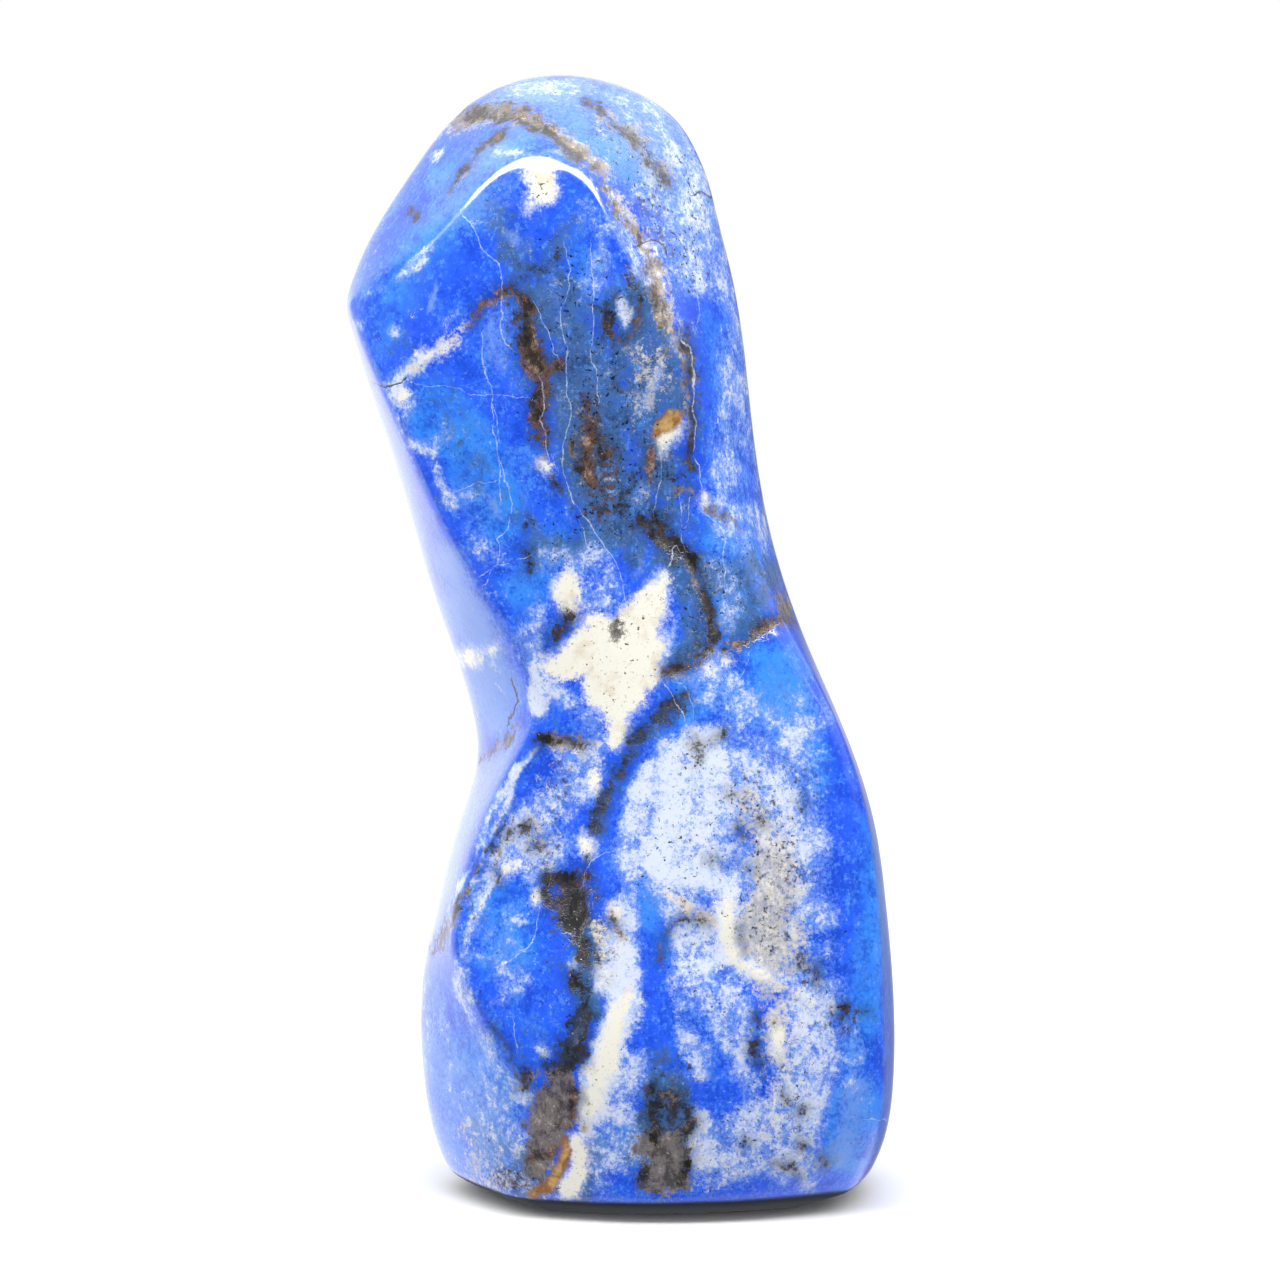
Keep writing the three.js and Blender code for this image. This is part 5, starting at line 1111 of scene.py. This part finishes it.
@dataclass(frozen=True)
class LapisFinish:
    """The polished lapis: its colours as linear light, and its sizes in mm.

    Each method lays one group of minerals over the colour that it is given. A mask
    comes from a mineral's field, unsettled by the noises, and a step across it.
    """

    royal: Colour = (0.017, 0.106, 0.93, 1)
    azure: Colour = (0.038, 0.275, 0.97, 1)
    deep: Colour = (0.008, 0.062, 0.60, 1)
    violet: Colour = (0.032, 0.100, 0.90, 1)
    salt: Colour = (0.080, 0.29, 0.92, 1)
    steel: Colour = (0.055, 0.150, 0.36, 1)
    steel_dark: Colour = (0.016, 0.042, 0.085, 1)
    steel_pale: Colour = (0.20, 0.28, 0.40, 1)
    milk: Colour = (0.19, 0.35, 0.82, 1)
    lilac: Colour = (0.33, 0.43, 0.80, 1)
    frost: Colour = (0.74, 0.80, 0.93, 1)
    dun: Colour = (0.46, 0.45, 0.44, 1)
    dun_pale: Colour = (0.80, 0.75, 0.65, 1)
    calcite: Colour = (0.88, 0.86, 0.76, 1)
    calcite_warm: Colour = (0.76, 0.68, 0.54, 1)
    grey: Colour = (0.26, 0.25, 0.25, 1)
    taupe: Earth = Earth((0.065, 0.056, 0.055, 1), (0.18, 0.155, 0.145, 1), (0.36, 0.32, 0.30, 1), 1.0)
    gold: Earth = Earth((0.03, 0.025, 0.022, 1), (0.21, 0.155, 0.105, 1), (0.62, 0.50, 0.34, 1), 1.0)
    rust: Earth = Earth((0.018, 0.012, 0.012, 1), (0.12, 0.062, 0.045, 1), (0.36, 0.24, 0.17, 1), 0.8)
    brown: Earth = Earth((0.003, 0.003, 0.004, 1), (0.028, 0.018, 0.013, 1), (0.20, 0.135, 0.075, 1), 0.8)
    ink: Earth = Earth((0.006, 0.010, 0.020, 1), (0.015, 0.035, 0.075, 1), (0.05, 0.10, 0.22, 1), 1.2)
    ochre: Colour = (0.62, 0.40, 0.16, 1)
    ochre_deep: Colour = (0.26, 0.11, 0.03, 1)
    seam: Colour = (0.62, 0.74, 0.95, 1)
    pyrite: Colour = (0.85, 0.72, 0.40, 1)
    gloss: float = 0.13          # roughness of the blue
    matt: float = 0.34           # and of the earthy veins
    index: float = 1.5           # refractive index of the polish
    chalk_ragged: float = 0.85   # how wide the calcite's broken edge is
    hair: float = 0.05           # half the width of an upright healed crack
    hair_across: float = 0.035
    pit_depth: float = 0.12      # how deep the fine relief is
    pit_strength: float = 0.35

    def blues(self, b: Bench, g: Ground) -> Wire:
        """Mixes the blue itself: azure and violet clouds, dark patches, pale salt, grey haze.

        Args:
            b: Where the nodes are added.
            g: The shared fields and noises.

        Returns:
            The colour of the bare blue rock.
        """
        light = b.step(g.clouds * 0.45 + g.patch * 0.55 + g.field[Mineral.AZURE] * 0.6, 0.42, 1.0)
        colour = b.blend(light, self.royal, self.azure)
        violet = b.step(b.grain(6.0, 3, 0.5, 0.3, b.moved((1, 8, 9))), 0.50, 0.7)
        colour = b.blend(violet * 0.35, colour, self.violet)
        shadow = b.step(b.stir(g.patch * 0.4 + g.fine * 0.35 + g.flour * 0.25, (g.drift, 0.6)), 0.55, 0.36)
        colour = b.blend(shadow * 0.8, colour, self.deep)
        pale = b.step(b.stir(g.flour * 0.4 + g.fibre * 0.6, (g.clouds, 0.3)), 0.49, 0.68)
        colour = b.blend(pale * 0.8, colour, self.salt)

        haze = b.step(b.stir(g.field[Mineral.STEEL] * 1.2, (g.drift, 1.4), (g.fibre, 1.6), (g.fine, 0.8)),
                      0.05, 0.72)
        dull = b.blend(b.step(g.fibre * 0.5 + g.flour * 0.5, 0.46, 0.60), self.steel, self.steel_dark)
        dull = b.blend(b.step(g.flour * 0.6 + g.patch * 0.4, 0.50, 0.64) * 0.8, dull, self.steel_pale)
        return b.blend(haze * 0.9, colour, dull)

    def whites(self, b: Bench, g: Ground, colour: Wire) -> Wire:
        """Lays on the milky haze and the frosted white, with islands of blue left in it.

        Args:
            b: Where the nodes are added.
            g: The shared fields and noises.
            colour: The colour below.

        Returns:
            The new colour.
        """
        milk = b.step(b.stir(g.field[Mineral.MILK], (g.drift, 0.7), (g.flour, 1.4)), 0.05, 1.0)
        colour = b.blend(milk * 0.85, colour, self.milk)
        snow = g.field[Mineral.FROST]
        beside = b.step(snow, 0.0, 0.30)
        veil = b.step(b.stir(snow * 1.1, (g.drift, 1.2), (g.patch, 0.8), (g.flour, 1.2)), 0.05, 0.70)
        colour = b.blend(veil * beside * 0.75, colour, self.milk)
        bed = b.step(b.stir(snow, (g.drift, 1.3), (g.patch, 1.9), (g.fine, 1.5), (g.flour, 0.9)),
                     0.30, 0.76) * beside
        white = b.step(snow * 0.5 + (g.drift + g.patch) * 0.5 + g.fine * 0.6 + g.flour * 0.8, 1.32, 1.66)
        colour = b.blend(bed * 0.92, colour, b.blend(white, self.lilac, self.frost))
        island = b.step(b.stir(b.grain(1.1, 5, 0.76, 0.3, b.moved((3, 7, 2))), (g.flour, 0.4)), 0.555, 0.64)
        return b.blend(island * 0.62, colour, self.salt)

    def specks(self, b: Bench, g: Ground, colour: Wire) -> Wire:
        """Lays on rusty and pale flecks, the dun wash, and clusters of dark grit.

        Args:
            b: Where the nodes are added.
            g: The shared fields and noises.
            colour: The colour below.

        Returns:
            The new colour.
        """
        fleck = b.step(g.field[Mineral.MOTTLE] * 0.4 + b.grain(1.1, 6, 0.80, 0.5, b.moved((5, 5, 2))),
                       0.70, 0.82)
        colour = b.blend(fleck * 0.9, colour,
                         b.blend(b.step(g.tone, 0.38, 0.50), self.rust.middle, self.dun_pale))
        dun = b.step(b.stir(g.field[Mineral.DUN], (g.patch, 1.8), (g.fine, 1.2), (g.flour, 1.6)), 0.30, 0.80)
        colour = b.blend(dun * 0.8, colour, b.blend(b.step(g.fibre * 0.5 + g.fine * 0.5, 0.44, 0.60),
                                                    self.dun, self.dun_pale))
        grit = g.field[Mineral.GRIT]
        cluster = b.grain(0.75, 5, 0.76, 0.3, b.moved((9, 4, 7))) + grit * 0.23
        gritty = b.step(grit, 0.02, 0.2)
        colour = b.blend(b.step(cluster, 0.62, 0.76) * gritty * 0.5, colour, self.steel)
        return b.blend(b.step(cluster, 0.70, 0.78) * gritty * 0.85, colour,
                       b.blend(b.step(g.tone, 0.40, 0.54), self.brown.middle, self.rust.middle))

    @staticmethod
    def edge(b: Bench, g: Ground, mineral: Mineral, ragged: float) -> Wire:
        """Makes a mask from a crisp mineral's field; it breaks up into flecks at the edge.

        Args:
            b: Where the nodes are added.
            g: The shared fields and noises.
            mineral: The mineral.
            ragged: How wide the broken edge is, in mm.

        Returns:
            The mask, 1 on the mineral.
        """
        sway = ((g.fleck - 0.5) * 3.4 + (g.flour - 0.5) * 3.0) * ragged
        return b.step(g.field[mineral] + sway, -0.3 * ragged, 0.5 * ragged)

    def calcites(self, b: Bench, g: Ground, colour: Wire, chalk: Wire) -> Wire:
        """Lays on the cream calcite, with a frosted halo round it.

        Args:
            b: Where the nodes are added.
            g: The shared fields and noises.
            colour: The colour below.
            chalk: The mask of the calcite.

        Returns:
            The new colour.
        """
        halo = b.step(b.stir(g.field[Mineral.CALCITE], (g.patch, 2.0), (g.flour, 2.0)), -1.0, 0.4)
        colour = b.blend(halo * 0.6, colour, self.frost)
        cream = b.blend(b.step(b.grain(3.0, 5, 0.6, 0.2, b.moved((4, 1, 8))), 0.52, 0.72),
                        self.calcite, self.calcite_warm)
        cream = b.blend(b.step(g.flour, 0.58, 0.72) * 0.5, cream, self.grey)
        return b.blend(chalk, colour, cream)

    def veins(self, b: Bench, g: Ground, colour: Wire) -> tuple[Wire, Wire]:
        """Lays on a dark stain, then each earthy vein with its own grains, and the ochre.

        Args:
            b: Where the nodes are added.
            g: The shared fields and noises.
            colour: The colour below.

        Returns:
            The new colour, and the mask of all the earthy veins.
        """
        stained = b.step(b.stir(g.field[Mineral.BROWN].most(g.field[Mineral.RUST]),
                                (g.patch, 3.0), (g.fine, 3.4)), -1.5, 0.9)
        colour = b.blend(stained * 0.6, colour, self.steel_dark)
        earthy: Wire | float = 0.0
        for mineral, earth in ((Mineral.TAUPE, self.taupe), (Mineral.GOLD, self.gold),
                               (Mineral.RUST, self.rust), (Mineral.BROWN, self.brown),
                               (Mineral.INK, self.ink)):
            vein = self.edge(b, g, mineral, earth.ragged)
            colour = b.blend(vein * 0.97, colour, earth.colour(b, g.vein))
            earthy = vein.most(earthy)
        amber = g.field[Mineral.OCHRE]
        ochre = b.blend(b.step(g.fibre + amber * 0.2, 0.45, 0.75), self.ochre_deep, self.ochre)
        return b.blend(b.step(b.stir(amber, (g.fine, 0.6)), -0.35, 0.35), colour, ochre), earthy

    def cracks(self, b: Bench, g: Ground, colour: Wire) -> tuple[Wire, Wire, Wire]:
        """Draws the healed cracks: fine pale seams, and a few stained ones.

        Args:
            b: Where the nodes are added.
            g: The shared fields and noises.
            colour: The colour below.

        Returns:
            The new colour, the mask of the seams and that of the stained cracks.
        """
        crook = (b.grain(0.7, 3, 0.7) - 0.5) * 0.5
        lines = [b.step(abs(b.mark(family.value) + crook), width * 1.8, width * 0.3)
                 * b.mark(family.value + HERE)
                 for family, width in ((Crack.UP_LEFT, self.hair), (Crack.UP_RIGHT, self.hair),
                                       (Crack.ACROSS, self.hair_across))]
        seams = lines[0].most(lines[1]).most(lines[2]) * b.step(g.patch * 0.4 + g.fine * 0.6, 0.38, 0.60)
        colour = b.blend(seams * 0.75, colour, self.seam)
        stain = (b.step(abs(b.stir(b.mark(Crack.STAINED.value), (g.dust, 0.7))), 0.22, 0.05)
                 * b.mark(Crack.STAINED.value + HERE))
        return b.blend(stain * 0.85, colour, self.brown.middle), seams, stain

    def material(self) -> bpy.types.Material:
        """Builds the stone's material.

        Returns:
            The finished material.
        """
        skin = bpy.data.materials.new("lapis_polish")
        skin.use_nodes = True
        b = Bench(skin.node_tree)
        g = Ground(b)
        chalk = self.edge(b, g, Mineral.CALCITE, self.chalk_ragged)
        colour = self.specks(b, g, self.whites(b, g, self.blues(b, g)))
        colour, earthy = self.veins(b, g, self.calcites(b, g, colour, chalk))

        peck = b.step(b.stir(g.dust + g.field[Mineral.PEPPER] * 0.06, (g.drift, 0.06)), 0.68, 0.73)
        colour, seams, stain = self.cracks(b, g, b.blend(peck * 0.9, colour, self.brown.dark))
        spark = b.step(b.grain(0.38, 3, 0.6, 0.3, b.moved((8, 2, 3))), 0.69, 0.73)
        glint = spark * (earthy * 0.7).most(b.step(b.grain(7.0, 2, 0.5), 0.58, 0.7) * 0.35)
        colour = b.blend(glint, colour, self.pyrite)
        # Painted shade: the downward-facing underside of the foot is coloured near-black, standing for the
        # shadow where the stone meets the floor; it is also made rough.
        shaded_foot = b.mark(SHADED_FOOT)
        colour = b.blend(shaded_foot, colour, self.ink.dark)

        rough = b.stir(earthy.most(shaded_foot * 4.0) * (self.matt - self.gloss) + chalk * 0.05 + self.gloss,
                       (g.fine, 0.06))
        height = b.stir(earthy * (b.step(g.vein, 0.40, 0.62) - 1.0) * 0.8 + seams * -0.5 - stain * 1.2
                        - peck * 0.4, (g.fine, 0.06))
        bump = b.node("ShaderNodeBump", {}, {"Strength": self.pit_strength,
                                             "Distance": self.pit_depth * MM, "Height": height})
        b.close(b.node("ShaderNodeBsdfPrincipled", {},
                       {"Base Color": colour, "Roughness": rough, "Metallic": glint * 0.8,
                        "Normal": bump, "IOR": self.index}))
        return skin


@dataclass
class Stone:
    """The polished stone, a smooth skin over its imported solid."""

    outlook: Outlook
    finish: LapisFinish
    weld: float = 0.002         # mm, corners nearer than this are one
    face_turn: float = 40.0     # degrees that two joined triangles may be out of plane
    shape_turn: float = 60.0    # degrees that their quad may be out of square
    refinements: int = 2
    front_fade: tuple[float, float] = (-0.30, 0.02)   # facing at which front markings end, begin
    shaded_foot_height: float = 3.0    # mm, below this the painted shade of the foot's underside begins
    shaded_foot_facing: tuple[float, float] = (0.55, 0.75)   # how far down it faces, at its edge and inside
    crack_reach: float = 1.6    # mm, how far from its line a crack may wander
    vein_depth: float = 0.12    # mm, how far polishing has hollowed the softer veins
    sway_wide: tuple[float, float] = (5.0, 0.5)    # mm, size and strength of the markings' sway
    sway_fine: tuple[float, float] = (1.6, 0.45)
    sway_apart: tuple[float, float, float] = (40, 7, 3)   # keeps the fine sway off the wide one
    sway_seed: int = 1          # without a seed the noise would differ from run to run
    soft_veins: tuple[Mineral, ...] = (Mineral.BROWN, Mineral.RUST, Mineral.GOLD, Mineral.TAUPE)

    def build(self) -> bpy.types.Object:
        """Makes the smooth skin from a merged copy of the solid.

        Returns:
            The finished object.
        """
        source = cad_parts[NODE].data
        form = bmesh.new()
        form.from_mesh(source)
        bmesh.ops.remove_doubles(form, verts=form.verts, dist=self.weld * MM)
        bmesh.ops.join_triangles(form, faces=form.faces, cmp_seam=False, cmp_sharp=False,
                                 cmp_uvs=False, cmp_vcols=False, cmp_materials=False,
                                 angle_face_threshold=math.radians(self.face_turn),
                                 angle_shape_threshold=math.radians(self.shape_turn))
        bmesh.ops.recalc_face_normals(form, faces=form.faces)
        coarse = bpy.data.meshes.new("lapis_coarse")
        form.to_mesh(coarse)
        form.free()
        if "custom_normal" in coarse.attributes:
            coarse.attributes.remove(coarse.attributes["custom_normal"])
        blank = bpy.data.objects.new("lapis_coarse", coarse)
        bpy.context.scene.collection.objects.link(blank)
        smooth = blank.modifiers.new("smooth", "SUBSURF")
        smooth.levels = smooth.render_levels = self.refinements
        graph = bpy.context.evaluated_depsgraph_get()
        mesh = bpy.data.meshes.new_from_object(blank.evaluated_get(graph))
        bpy.data.objects.remove(blank)
        mesh.name = "lapis_freeform"
        mesh.materials.clear()
        mesh.shade_smooth()
        piece = bpy.data.objects.new("lapis_freeform", mesh)
        bpy.context.scene.collection.objects.link(piece)
        self.paint(mesh)
        return piece

    def paint(self, mesh: bpy.types.Mesh) -> None:
        """Lays every mineral and crack on the skin as attributes.

        Args:
            mesh: The skin.
        """
        count = len(mesh.vertices)
        points = np.empty(count * 3)
        mesh.vertices.foreach_get("co", points)
        points = points.reshape(-1, 3) / MM
        normals = np.empty(count * 3, np.float32)
        mesh.vertices.foreach_get("normal", normals)
        normals = normals.reshape(-1, 3)
        sight = points - self.outlook.eye
        sight /= np.linalg.norm(sight, axis=1)[:, None]
        low, high = self.front_fade
        front = np.clip((-(normals * sight).sum(1) - low) / (high - low), 0, 1)
        places = self.outlook.flatten(points + self.wander(points))
        fields = self.lay(places)
        rear = self.rear(points)
        # The foot's downward-facing underside, near the floor, is marked for painted shade.
        rim, shaded_foot = self.shaded_foot_facing
        under = np.clip((-normals[:, 2] - rim) / (shaded_foot - rim), 0, 1)
        self.store(mesh, SHADED_FOOT, under * (points[:, 2] < self.shaded_foot_height))
        for mineral in Mineral:
            fields[mineral] = fields[mineral] * front + rear[mineral] * (1 - front)
        for mineral in SHOWN:
            self.store(mesh, mineral.value, fields[mineral])
        worn = np.max([fields[mineral] for mineral in self.soft_veins], axis=0)
        lift = fields[Mineral.RISE] - self.vein_depth * np.clip(worn + 0.4, 0, 1)
        moved = (points + normals * lift[:, None]) * MM
        mesh.vertices.foreach_set("co", moved.ravel())
        for family in Crack:
            signed = np.full(count, FIELD_REACH)
            best = np.full(count, np.inf)
            for crack in CRACKS[family]:
                across, reach = crack.across(places)
                signed = np.where(reach < best, across, signed)
                best = np.minimum(best, reach)
            here = np.clip(self.crack_reach - best, 0, 1) * np.clip(front * 2 - 1, 0, 1)
            self.store(mesh, family.value, np.clip(signed, -FIELD_REACH, FIELD_REACH))
            self.store(mesh, family.value + HERE, here)

    def wander(self, points: np.ndarray) -> np.ndarray:
        """Gives each point a small seeded shift, so that no marking has a ruled edge.

        Args:
            points: Places on the skin in millimetres.

        Returns:
            The shifts in millimetres.
        """
        (wide, far), (fine, near) = self.sway_wide, self.sway_fine
        apart = Vector(self.sway_apart)
        noise.seed_set(self.sway_seed)
        return np.array([noise.noise_vector(Vector(p) / wide) * far
                         + noise.noise_vector(Vector(p) / fine + apart) * near for p in points])

    @staticmethod
    def store(mesh: bpy.types.Mesh, name: str, values: np.ndarray) -> None:
        """Writes one number for each corner point of the mesh."""
        layer = mesh.attributes.new(name, "FLOAT", "POINT")
        layer.data.foreach_set("value", values.astype(np.float32))

    @staticmethod
    def bare(count: int) -> dict[Mineral, np.ndarray]:
        """Gives fields of the given length with no mineral in them."""
        return {m: np.full(count, -FIELD_REACH if m in CRISP else 0.0) for m in Mineral}

    @staticmethod
    def lay(places: np.ndarray) -> dict[Mineral, np.ndarray]:
        """Lays the front markings in their order.

        Args:
            places: Front-view places in millimetres.

        Returns:
            One field for each mineral.
        """
        fields = Stone.bare(len(places))
        for mineral, markings in MARKINGS.items():
            field = fields[mineral]
            for marking in markings:
                depth = marking.inside(places)
                if mineral in CRISP:
                    field = np.clip(np.maximum(field, depth), -FIELD_REACH, FIELD_REACH)
                else:
                    share = np.clip(0.5 + depth / (2 * marking.soft), 0, 1)
                    share = share * share * (3 - 2 * share)
                    field = field + (marking.strength - field) * share
            fields[mineral] = field
        return fields

    @staticmethod
    def rear(points: np.ndarray) -> dict[Mineral, np.ndarray]:
        """Makes the minerals of the sides and back from seeded clouds.

        Args:
            points: Places on the skin in millimetres.

        Returns:
            One field for each mineral.
        """
        def cloud(size: float, seed: float, octaves: int = 3) -> np.ndarray:
            """Gives a cloud of the given size in mm, about -1 to 1."""
            return np.array([noise.fractal(Vector(p) / size + Vector((seed, seed * 2.3, -seed)),
                                           0.9, 2.1, octaves) for p in points])

        broad, veins, spots = cloud(26, 3.1), cloud(34, 7.7, 2), cloud(9, 12.4)
        near = np.abs(veins)
        fields = Stone.bare(len(points))
        fields[Mineral.FROST] = np.clip(0.25 + broad * 0.9, 0, 0.8)
        fields[Mineral.AZURE] = np.clip(0.4 + spots * 0.6, 0, 1)
        fields[Mineral.STEEL] = np.clip(-veins * 1.2, 0, 0.7)
        fields[Mineral.MOTTLE] = np.clip(spots * 0.7 + broad * 0.4, 0, 0.5)
        fields[Mineral.PEPPER] = np.clip(0.4 + spots, 0, 1)
        fields[Mineral.GRIT] = np.clip(0.9 - near * 6, 0, 0.8) * np.clip(0.5 + spots, 0, 1)
        fields[Mineral.CALCITE] = (broad + spots * 0.4 - 0.52) * 9
        fields[Mineral.BROWN] = (0.03 * np.clip(spots * 2, -1, 1) - near) * 22
        fields[Mineral.TAUPE] = (spots * 0.8 - near * 2 - 0.25) * 9
        for mineral in CRISP:
            fields[mineral] = np.clip(fields[mineral], -FIELD_REACH, FIELD_REACH)
        return fields

    def dress(self, piece: bpy.types.Object) -> None:
        """Gives the skin its finish and its place in the model.

        Args:
            piece: The skin.
        """
        piece.data.materials.append(self.finish.material())
        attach(piece, BODY)
        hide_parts(NODE)


@dataclass
class Studio:
    """A white floor and soft light around the stone."""

    floor_radius: float = 420.0      # mm
    floor_seen: Colour = (0.97, 0.97, 0.97, 1)
    floor_front: Colour = (0.25, 0.25, 0.26, 1)    # what it sends on to the stone's front
    floor_back: Colour = (0.9, 0.9, 0.91, 1)       # and to its back
    floor_turn: tuple[float, float] = (-40.0, 10.0)      # mm along Y, where front turns to back
    middle: float = 60.0             # mm, the height that the strip lights hang round
    strip_reach: float = 460.0       # mm from there to the soft strip light
    strip_rise: float = 59.7         # degrees above level, in front
    soft_ends: tuple[float, float] = (-900.0, 700.0)     # mm, left and right
    soft_depth: float = 130.0        # mm
    soft_glow: float = 5.5           # radiance of the light that lands on things
    shine_reach: float = 450.0       # mm from there to the strip light that is mirrored
    shine_ends: tuple[float, float] = (-700.0, 560.0)
    shine_depth: float = 170.0
    shine_glow: float = 28.0         # radiance of the light that only shows in reflections
    white: float = 1.0
    room: float = 0.98               # radiance of the room's soft light
    mirrored_front: float = 0.12     # radiance of the room as it is mirrored
    mirrored_right: float = 0.25
    mirrored_left: float = 0.45
    mirrored_around: float = 1.75
    mirrored_above: float = 2.4

    def floor(self) -> bpy.types.Object:
        """Makes the white floor disc.

        Returns:
            The floor object.
        """
        form = bmesh.new()
        bmesh.ops.create_circle(form, cap_ends=True, segments=96, radius=self.floor_radius * MM)
        mesh = bpy.data.meshes.new("floor")
        form.to_mesh(mesh)
        form.free()
        skin = bpy.data.materials.new("floor_white")
        skin.use_nodes = True
        b = Bench(skin.node_tree)
        seen = b.node("ShaderNodeLightPath", out="Is Camera Ray")
        along = b.node("ShaderNodeSeparateXYZ", {}, {0: b.place}, out="Y")
        turn = b.step(along, self.floor_turn[0] * MM, self.floor_turn[1] * MM)
        paint = b.blend(seen, b.blend(turn, self.floor_front, self.floor_back), self.floor_seen)
        b.close(b.node("ShaderNodeBsdfDiffuse", {}, {"Color": paint}))
        mesh.materials.append(skin)
        floor = bpy.data.objects.new("floor", mesh)
        floor.visible_glossy = False
        bpy.context.scene.collection.objects.link(floor)
        return floor

    def strip(self, name: str, reach: float, radiance: float, ends: tuple[float, float],
              depth: float) -> bpy.types.Object:
        """Hangs one long soft light above the front.

        Args:
            name: The light's name.
            reach: How far it hangs from the stone's middle, in mm.
            radiance: How bright it is.
            ends: Its left and right ends in mm.
            depth: Its depth in mm.

        Returns:
            The light object.
        """
        lamp = bpy.data.lights.new(name, "AREA")
        lamp.shape = "RECTANGLE"
        lamp.size = (ends[1] - ends[0]) * MM
        lamp.size_y = depth * MM
        lamp.energy = radiance * math.pi * lamp.size * lamp.size_y
        seat = bpy.data.objects.new(name, lamp)
        rise = math.radians(self.strip_rise)
        seat.location = Vector((sum(ends) / 2, -reach * math.cos(rise),
                                self.middle + reach * math.sin(rise))) * MM
        seat.rotation_euler = (math.radians(90.0 - self.strip_rise), 0.0, 0.0)
        seat.visible_camera = False
        bpy.context.scene.collection.objects.link(seat)
        return seat

    def surroundings(self) -> None:
        """Fills the room with soft light; what the polish mirrors differs by side."""
        world = bpy.data.worlds.new("room")
        bpy.context.scene.world = world
        world.use_nodes = True
        b = Bench(world.node_tree)
        # The steps below run between parts of the heading, which is a unit vector.
        heading = b.node("ShaderNodeTexCoord", out="Generated")
        right, back, up = (b.node("ShaderNodeSeparateXYZ", {}, {0: heading}, out=axis)
                           for axis in ("X", "Y", "Z"))
        shine = self.mirrored_around + b.step(up, 0.45, 0.7) * (self.mirrored_above
                                                                - self.mirrored_around)
        dim = b.step(right, -0.15, 0.25) * b.step(up, 0.34, 0.14) * b.step(up, -0.55, -0.30)
        shine = shine + dim * (self.mirrored_right - shine)
        dim = b.step(right, -0.70, -0.88) * b.step(back, 0.30, 0.05) * b.step(up, 0.60, 0.40)
        shine = shine + dim * (self.mirrored_left - shine)
        shine = shine + b.step(back, -0.25, -0.68) * (self.mirrored_front - shine)
        mirrored = b.node("ShaderNodeLightPath", out="Is Glossy Ray")
        seen = b.node("ShaderNodeLightPath", out="Is Camera Ray")
        glow = self.room + mirrored * (shine - self.room)
        strength = glow + seen * (self.white - glow)
        b.close(b.node("ShaderNodeBackground", {}, {"Color": (1, 1, 1, 1), "Strength": strength}),
                "ShaderNodeOutputWorld")

    def set_up(self) -> None:
        """Puts up the floor, the light and the surroundings."""
        self.floor()
        self.strip("strip_soft", self.strip_reach, self.soft_glow, self.soft_ends,
                   self.soft_depth)
        shine = self.strip("strip_shine", self.shine_reach, self.shine_glow, self.shine_ends,
                           self.shine_depth)
        shine.visible_diffuse = False
        self.surroundings()
        bpy.context.scene.view_settings.view_transform = "Standard"


def main() -> None:
    """Builds and dresses the stone, then sets up the studio."""
    logging.basicConfig(level=logging.INFO, format="%(name)s: %(message)s")
    outlook = Outlook()
    stone = Stone(outlook, LapisFinish())
    piece = stone.build()
    stone.dress(piece)
    LOG.info("%s: %d faces", piece.name, len(piece.data.polygons))
    Studio().set_up()
    outlook.camera()


if __name__ == "__main__":
    main()
